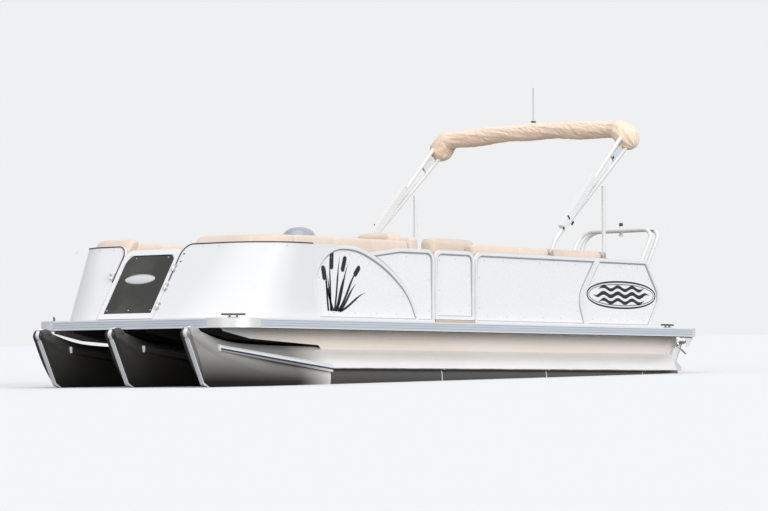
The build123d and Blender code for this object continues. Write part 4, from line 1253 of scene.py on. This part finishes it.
def windscreen_bubble():
    """Front half of a stretched dome, open towards the helm, with its edge closed all round."""
    rows, columns = 14, 37
    around = -pi * 0.62 + pi * 1.24 * np.arange(columns) / (columns - 1)
    points = []
    for grow in (0.0, -0.005):
        for tilt in np.arange(rows) / rows * pi / 2:
            draw = cos(tilt) ** 0.8
            ahead, aside = (0.225 + grow) * draw, (0.185 + grow) * draw
            rise = 1.592 + (0.196 + grow) * sin(tilt)
            points += [(0.335 + ahead * cos(a), HELM_Y + aside * sin(a), rise) for a in around]
    count = rows * columns
    grid = np.arange(count).reshape(rows, columns)
    quads = np.stack([grid[:-1, :-1], grid[:-1, 1:], grid[1:, 1:], grid[1:, :-1]], -1).reshape(-1, 4)
    faces = [*quads.tolist(), *(quads[:, ::-1] + count).tolist()]
    edge = np.concatenate([grid[0], grid[1:, -1], grid[-1, -2::-1], grid[-2:0:-1, 0]]).tolist()
    faces += [(b, a, a + count, b + count) for a, b in zip(edge, edge[1:] + edge[:1])]
    obj = Batch().add(points, faces).piece("windscreen_bubble", "glass", "boat", "smoked_screen")
    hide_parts("windscreen")


windscreen_bubble()


# Painted highlights and shadow along the strakes of the tubes' noses, with a pale plate at each strake's
# front

# columns: station, reach from the tube's middle, underside, height of the outer face
NOSE_STRAKE = [(2.152, 0.322, 0.348, 0.070), (2.850, 0.284, 0.436, 0.060), (3.440, 0.150, 0.528, 0.050)]


def strake_trim():
    """Outer face and top edge of each nose strake painted pale as highlights, a painted shadow line under it,
    and a pale plate at its front.
    """
    face, line, shade = Batch(), Batch(), Batch()
    rows = np.array(NOSE_STRAKE)
    x, reach, low, tall = (np.interp(np.linspace(0, 2, 25), [0, 1, 2], rows[:, k]) for k in range(4))
    for middle, side in product((TUBE_PITCH, 0.0, -TUBE_PITCH), (1, -1)):
        y = middle + side * reach
        front = (x[-1] - 0.002, y[-1] - side * 0.030, low[-1] - 0.004)
        line.add(*block_mesh(front, (x[-1] + 0.012, y[-1] + side * 0.004, low[-1] + tall[-1] + 0.004), 0.002))
        if middle * side <= 0:
            continue

        def edge(out, height):
            return np.stack([x, y + side * out, low + height], 1)

        # Painted shadow under the strake.
        shade.add(*tube_mesh(edge(-0.001, 0.40 * tall), 0.0075, 6))
        # Painted highlight along the strake's top edge.
        line.add(*tube_mesh(edge(-0.001, tall - 0.002), 0.0035, 6))
        # The strake's outer face, painted pale as a highlight.
        bottom, top = 0.52 * tall, tall - 0.008
        rings = [edge(0.0012, bottom), edge(0.0012, top), edge(-0.001, top), edge(-0.001, bottom)]
        face.add(np.stack(rings, 1), turned(grid_faces(len(x), 4), side < 0))
    face.piece("strake_faces", "strip", "boat", "mill_aluminium", crease=30)
    line.piece("strake_edges", "frame", "boat", "mill_aluminium", crease=40)
    shade.piece("strake_painted_shadows", "edge_shadow", "boat", "black_plastic")


strake_trim()


# Aft ends of the side risers, and the gussets under the deck's stern corners

RISER_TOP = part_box("risers")[1].z
RISER_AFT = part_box("risers")[0].x - MIDSHIP


def stern_ends():
    """Folded sheet that carries each side riser on to the stern, cut on a slope below, and a pale gusset."""
    ends, gussets = Batch(), Batch()
    outline = [(-0.001, 0.556), (-0.055, 0.560), (-0.180, 0.640), (-0.180, RISER_TOP), (-0.001, RISER_TOP)]
    outline = [(RISER_AFT + x, z) for x, z in outline]
    fin = [(-3.455, 0.726), (-3.440, 0.690), (-3.375, 0.622), (-3.335, 0.622), (-3.335, 0.726)]
    for side in (1, -1):
        for flank in (1, -1):
            ends.add(*plate_mesh(outline, side * TUBE_PITCH + flank * RISER_HALF, 0.006))
        gussets.add(*plate_mesh(fin, side * 1.262, 0.006))
        gussets.add(*block_mesh((-3.455, side * 1.180, 0.716), (-3.335, side * 1.262, 0.726), 0.002))
    ends.piece("riser_ends", "riser", "boat", "mill_aluminium", smooth=False)
    gussets.piece("stern_gussets", "frame", "boat", "mill_aluminium", smooth=False)


stern_ends()


# Threshold under the side gate

threshold = Batch().add(*block_mesh((0.112, 1.196, 0.8175), (0.686, 1.250, 0.839), 0.004))
threshold.piece("gate_threshold", "shell", "boat", "lounge_shell", crease=40)


# Film motifs on the side panels

FILM = 0.0006
WAVE_SWING = 0.017
WAVE_PITCH = 0.240


def blade(base, tip, width, bend, steps=14):
    """Outline of a leaf or stalk that tapers from base to tip."""
    base, tip = np.array(base, float), np.array(tip, float)
    along_it = tip - base
    side = np.array([-along_it[1], along_it[0]]) / np.linalg.norm(along_it)
    t = np.linspace(0, 1, steps)
    middle = base + along_it * t[:, None] + side * (bend * np.sin(t * pi / 2) ** 2)[:, None]
    half = width / 2 * np.clip(np.minimum(1.0, (1 - t) * 2.4), 0.04, 1)
    return np.concatenate([middle + side * half[:, None], (middle - side * half[:, None])[::-1]])


def capsule(centre, length, width, angle):
    """Outline of a round-ended bar."""
    r = width / 2
    points = []
    for end in (1, -1):
        for a in np.linspace(-pi / 2, pi / 2, 9):
            points.append((end * (length / 2 - r + r * cos(a)), end * r * sin(a)))
    c, s = cos(angle), sin(angle)
    return [(centre[0] + x * c - z * s, centre[1] + x * s + z * c) for x, z in points]


def ring_strip(centre, half_w, half_h, wide, plane):
    """Flat oval band, a little squarer than an ellipse."""
    count, power = 72, 2.2
    back = plane - copysign(FILM, plane)
    rings = []
    for a in circle(count):
        c, s = cos(a), sin(a)
        shape = (abs(c) ** power + abs(s) ** power) ** (-1 / power)
        for inset, y in ((0.0, plane), (wide, plane), (wide, back), (0.0, back)):
            x = centre[0] + (half_w - inset) * shape * c
            rings.append((x, y, centre[1] + (half_h - inset) * shape * s))
    return np.array(rings), turned(grid_faces(count, 4, closed=True), plane < 0)


# columns: foot station, tip station, tip height, width, bend
REEDS = [
    (2.190, 2.262, 1.300, 0.024, 0.025),
    (2.160, 2.150, 1.400, 0.020, -0.025),
    (2.120, 2.285, 1.140, 0.026, 0.050),
    (2.110, 1.990, 1.385, 0.022, -0.045),
    (2.080, 1.850, 1.300, 0.024, -0.075),
    (2.060, 1.700, 1.215, 0.028, -0.110),
    (2.040, 1.760, 1.070, 0.026, -0.090),
    (2.030, 1.660, 1.005, 0.022, -0.070),
    (2.150, 2.220, 1.215, 0.022, 0.015),
    (2.095, 1.930, 1.190, 0.026, -0.050),
]
# columns: middle, length, angle
CATTAILS = [
    ((2.148, 1.352), 0.170, 1.60),
    ((1.982, 1.322), 0.150, 1.88),
    ((2.256, 1.235), 0.135, 1.36),
    ((1.800, 1.262), 0.120, 2.28),
]


def reed_motif(side):
    """Reeds with round-headed spikes, cut from dark film."""
    plane = side * (SKIN_FACE_Y + FILM)
    film = Batch()
    for foot, tip, height, width, bend in REEDS:
        film.add(*plate_mesh(blade((foot, 0.895), (tip, height), width, bend), plane, FILM))
    for centre, length, angle in CATTAILS:
        film.add(*plate_mesh(capsule(centre, length, 0.052, angle), plane + side * 0.0002, FILM))
    return film


def wave_line(middle, z, half_length, wide):
    """Outline of a wavy bar, thinner towards its ends."""
    off = np.linspace(-half_length, half_length, 40)
    half = wide / 2 * np.clip(np.sin((off / half_length + 1) / 2 * pi) * 3, 0.15, 1)
    zs = z + WAVE_SWING * np.sin(off / WAVE_PITCH * 2 * pi)
    xs = middle + off
    return [*zip(xs, zs + half), *zip(xs[::-1], (zs - half)[::-1])]


def wave_motif(side):
    """Oval band with three waves inside it."""
    plane = side * (SKIN_FACE_Y + FILM)
    x, z = -2.265, 1.134
    dark = Batch().add(*ring_strip((x, z), 0.585, 0.140, 0.018, plane))
    grey = Batch().add(*ring_strip((x, z), 0.553, 0.110, 0.010, plane))
    for rise, half, wide in ((0.064, 0.39, 0.034), (0.0, 0.47, 0.040), (-0.064, 0.39, 0.034)):
        dark.add(*plate_mesh(wave_line(x, z + rise, half, wide), plane, FILM))
    return dark, grey


for side, name in SIDES:
    waves, band = wave_motif(side)
    reed_motif(side).piece(f"reed_motif_{name}", "ink", "boat", None, smooth=False)
    waves.piece(f"wave_motif_{name}", "ink", "boat", None, smooth=False)
    band.piece(f"wave_band_{name}", "ink_grey", "boat", None, smooth=False)
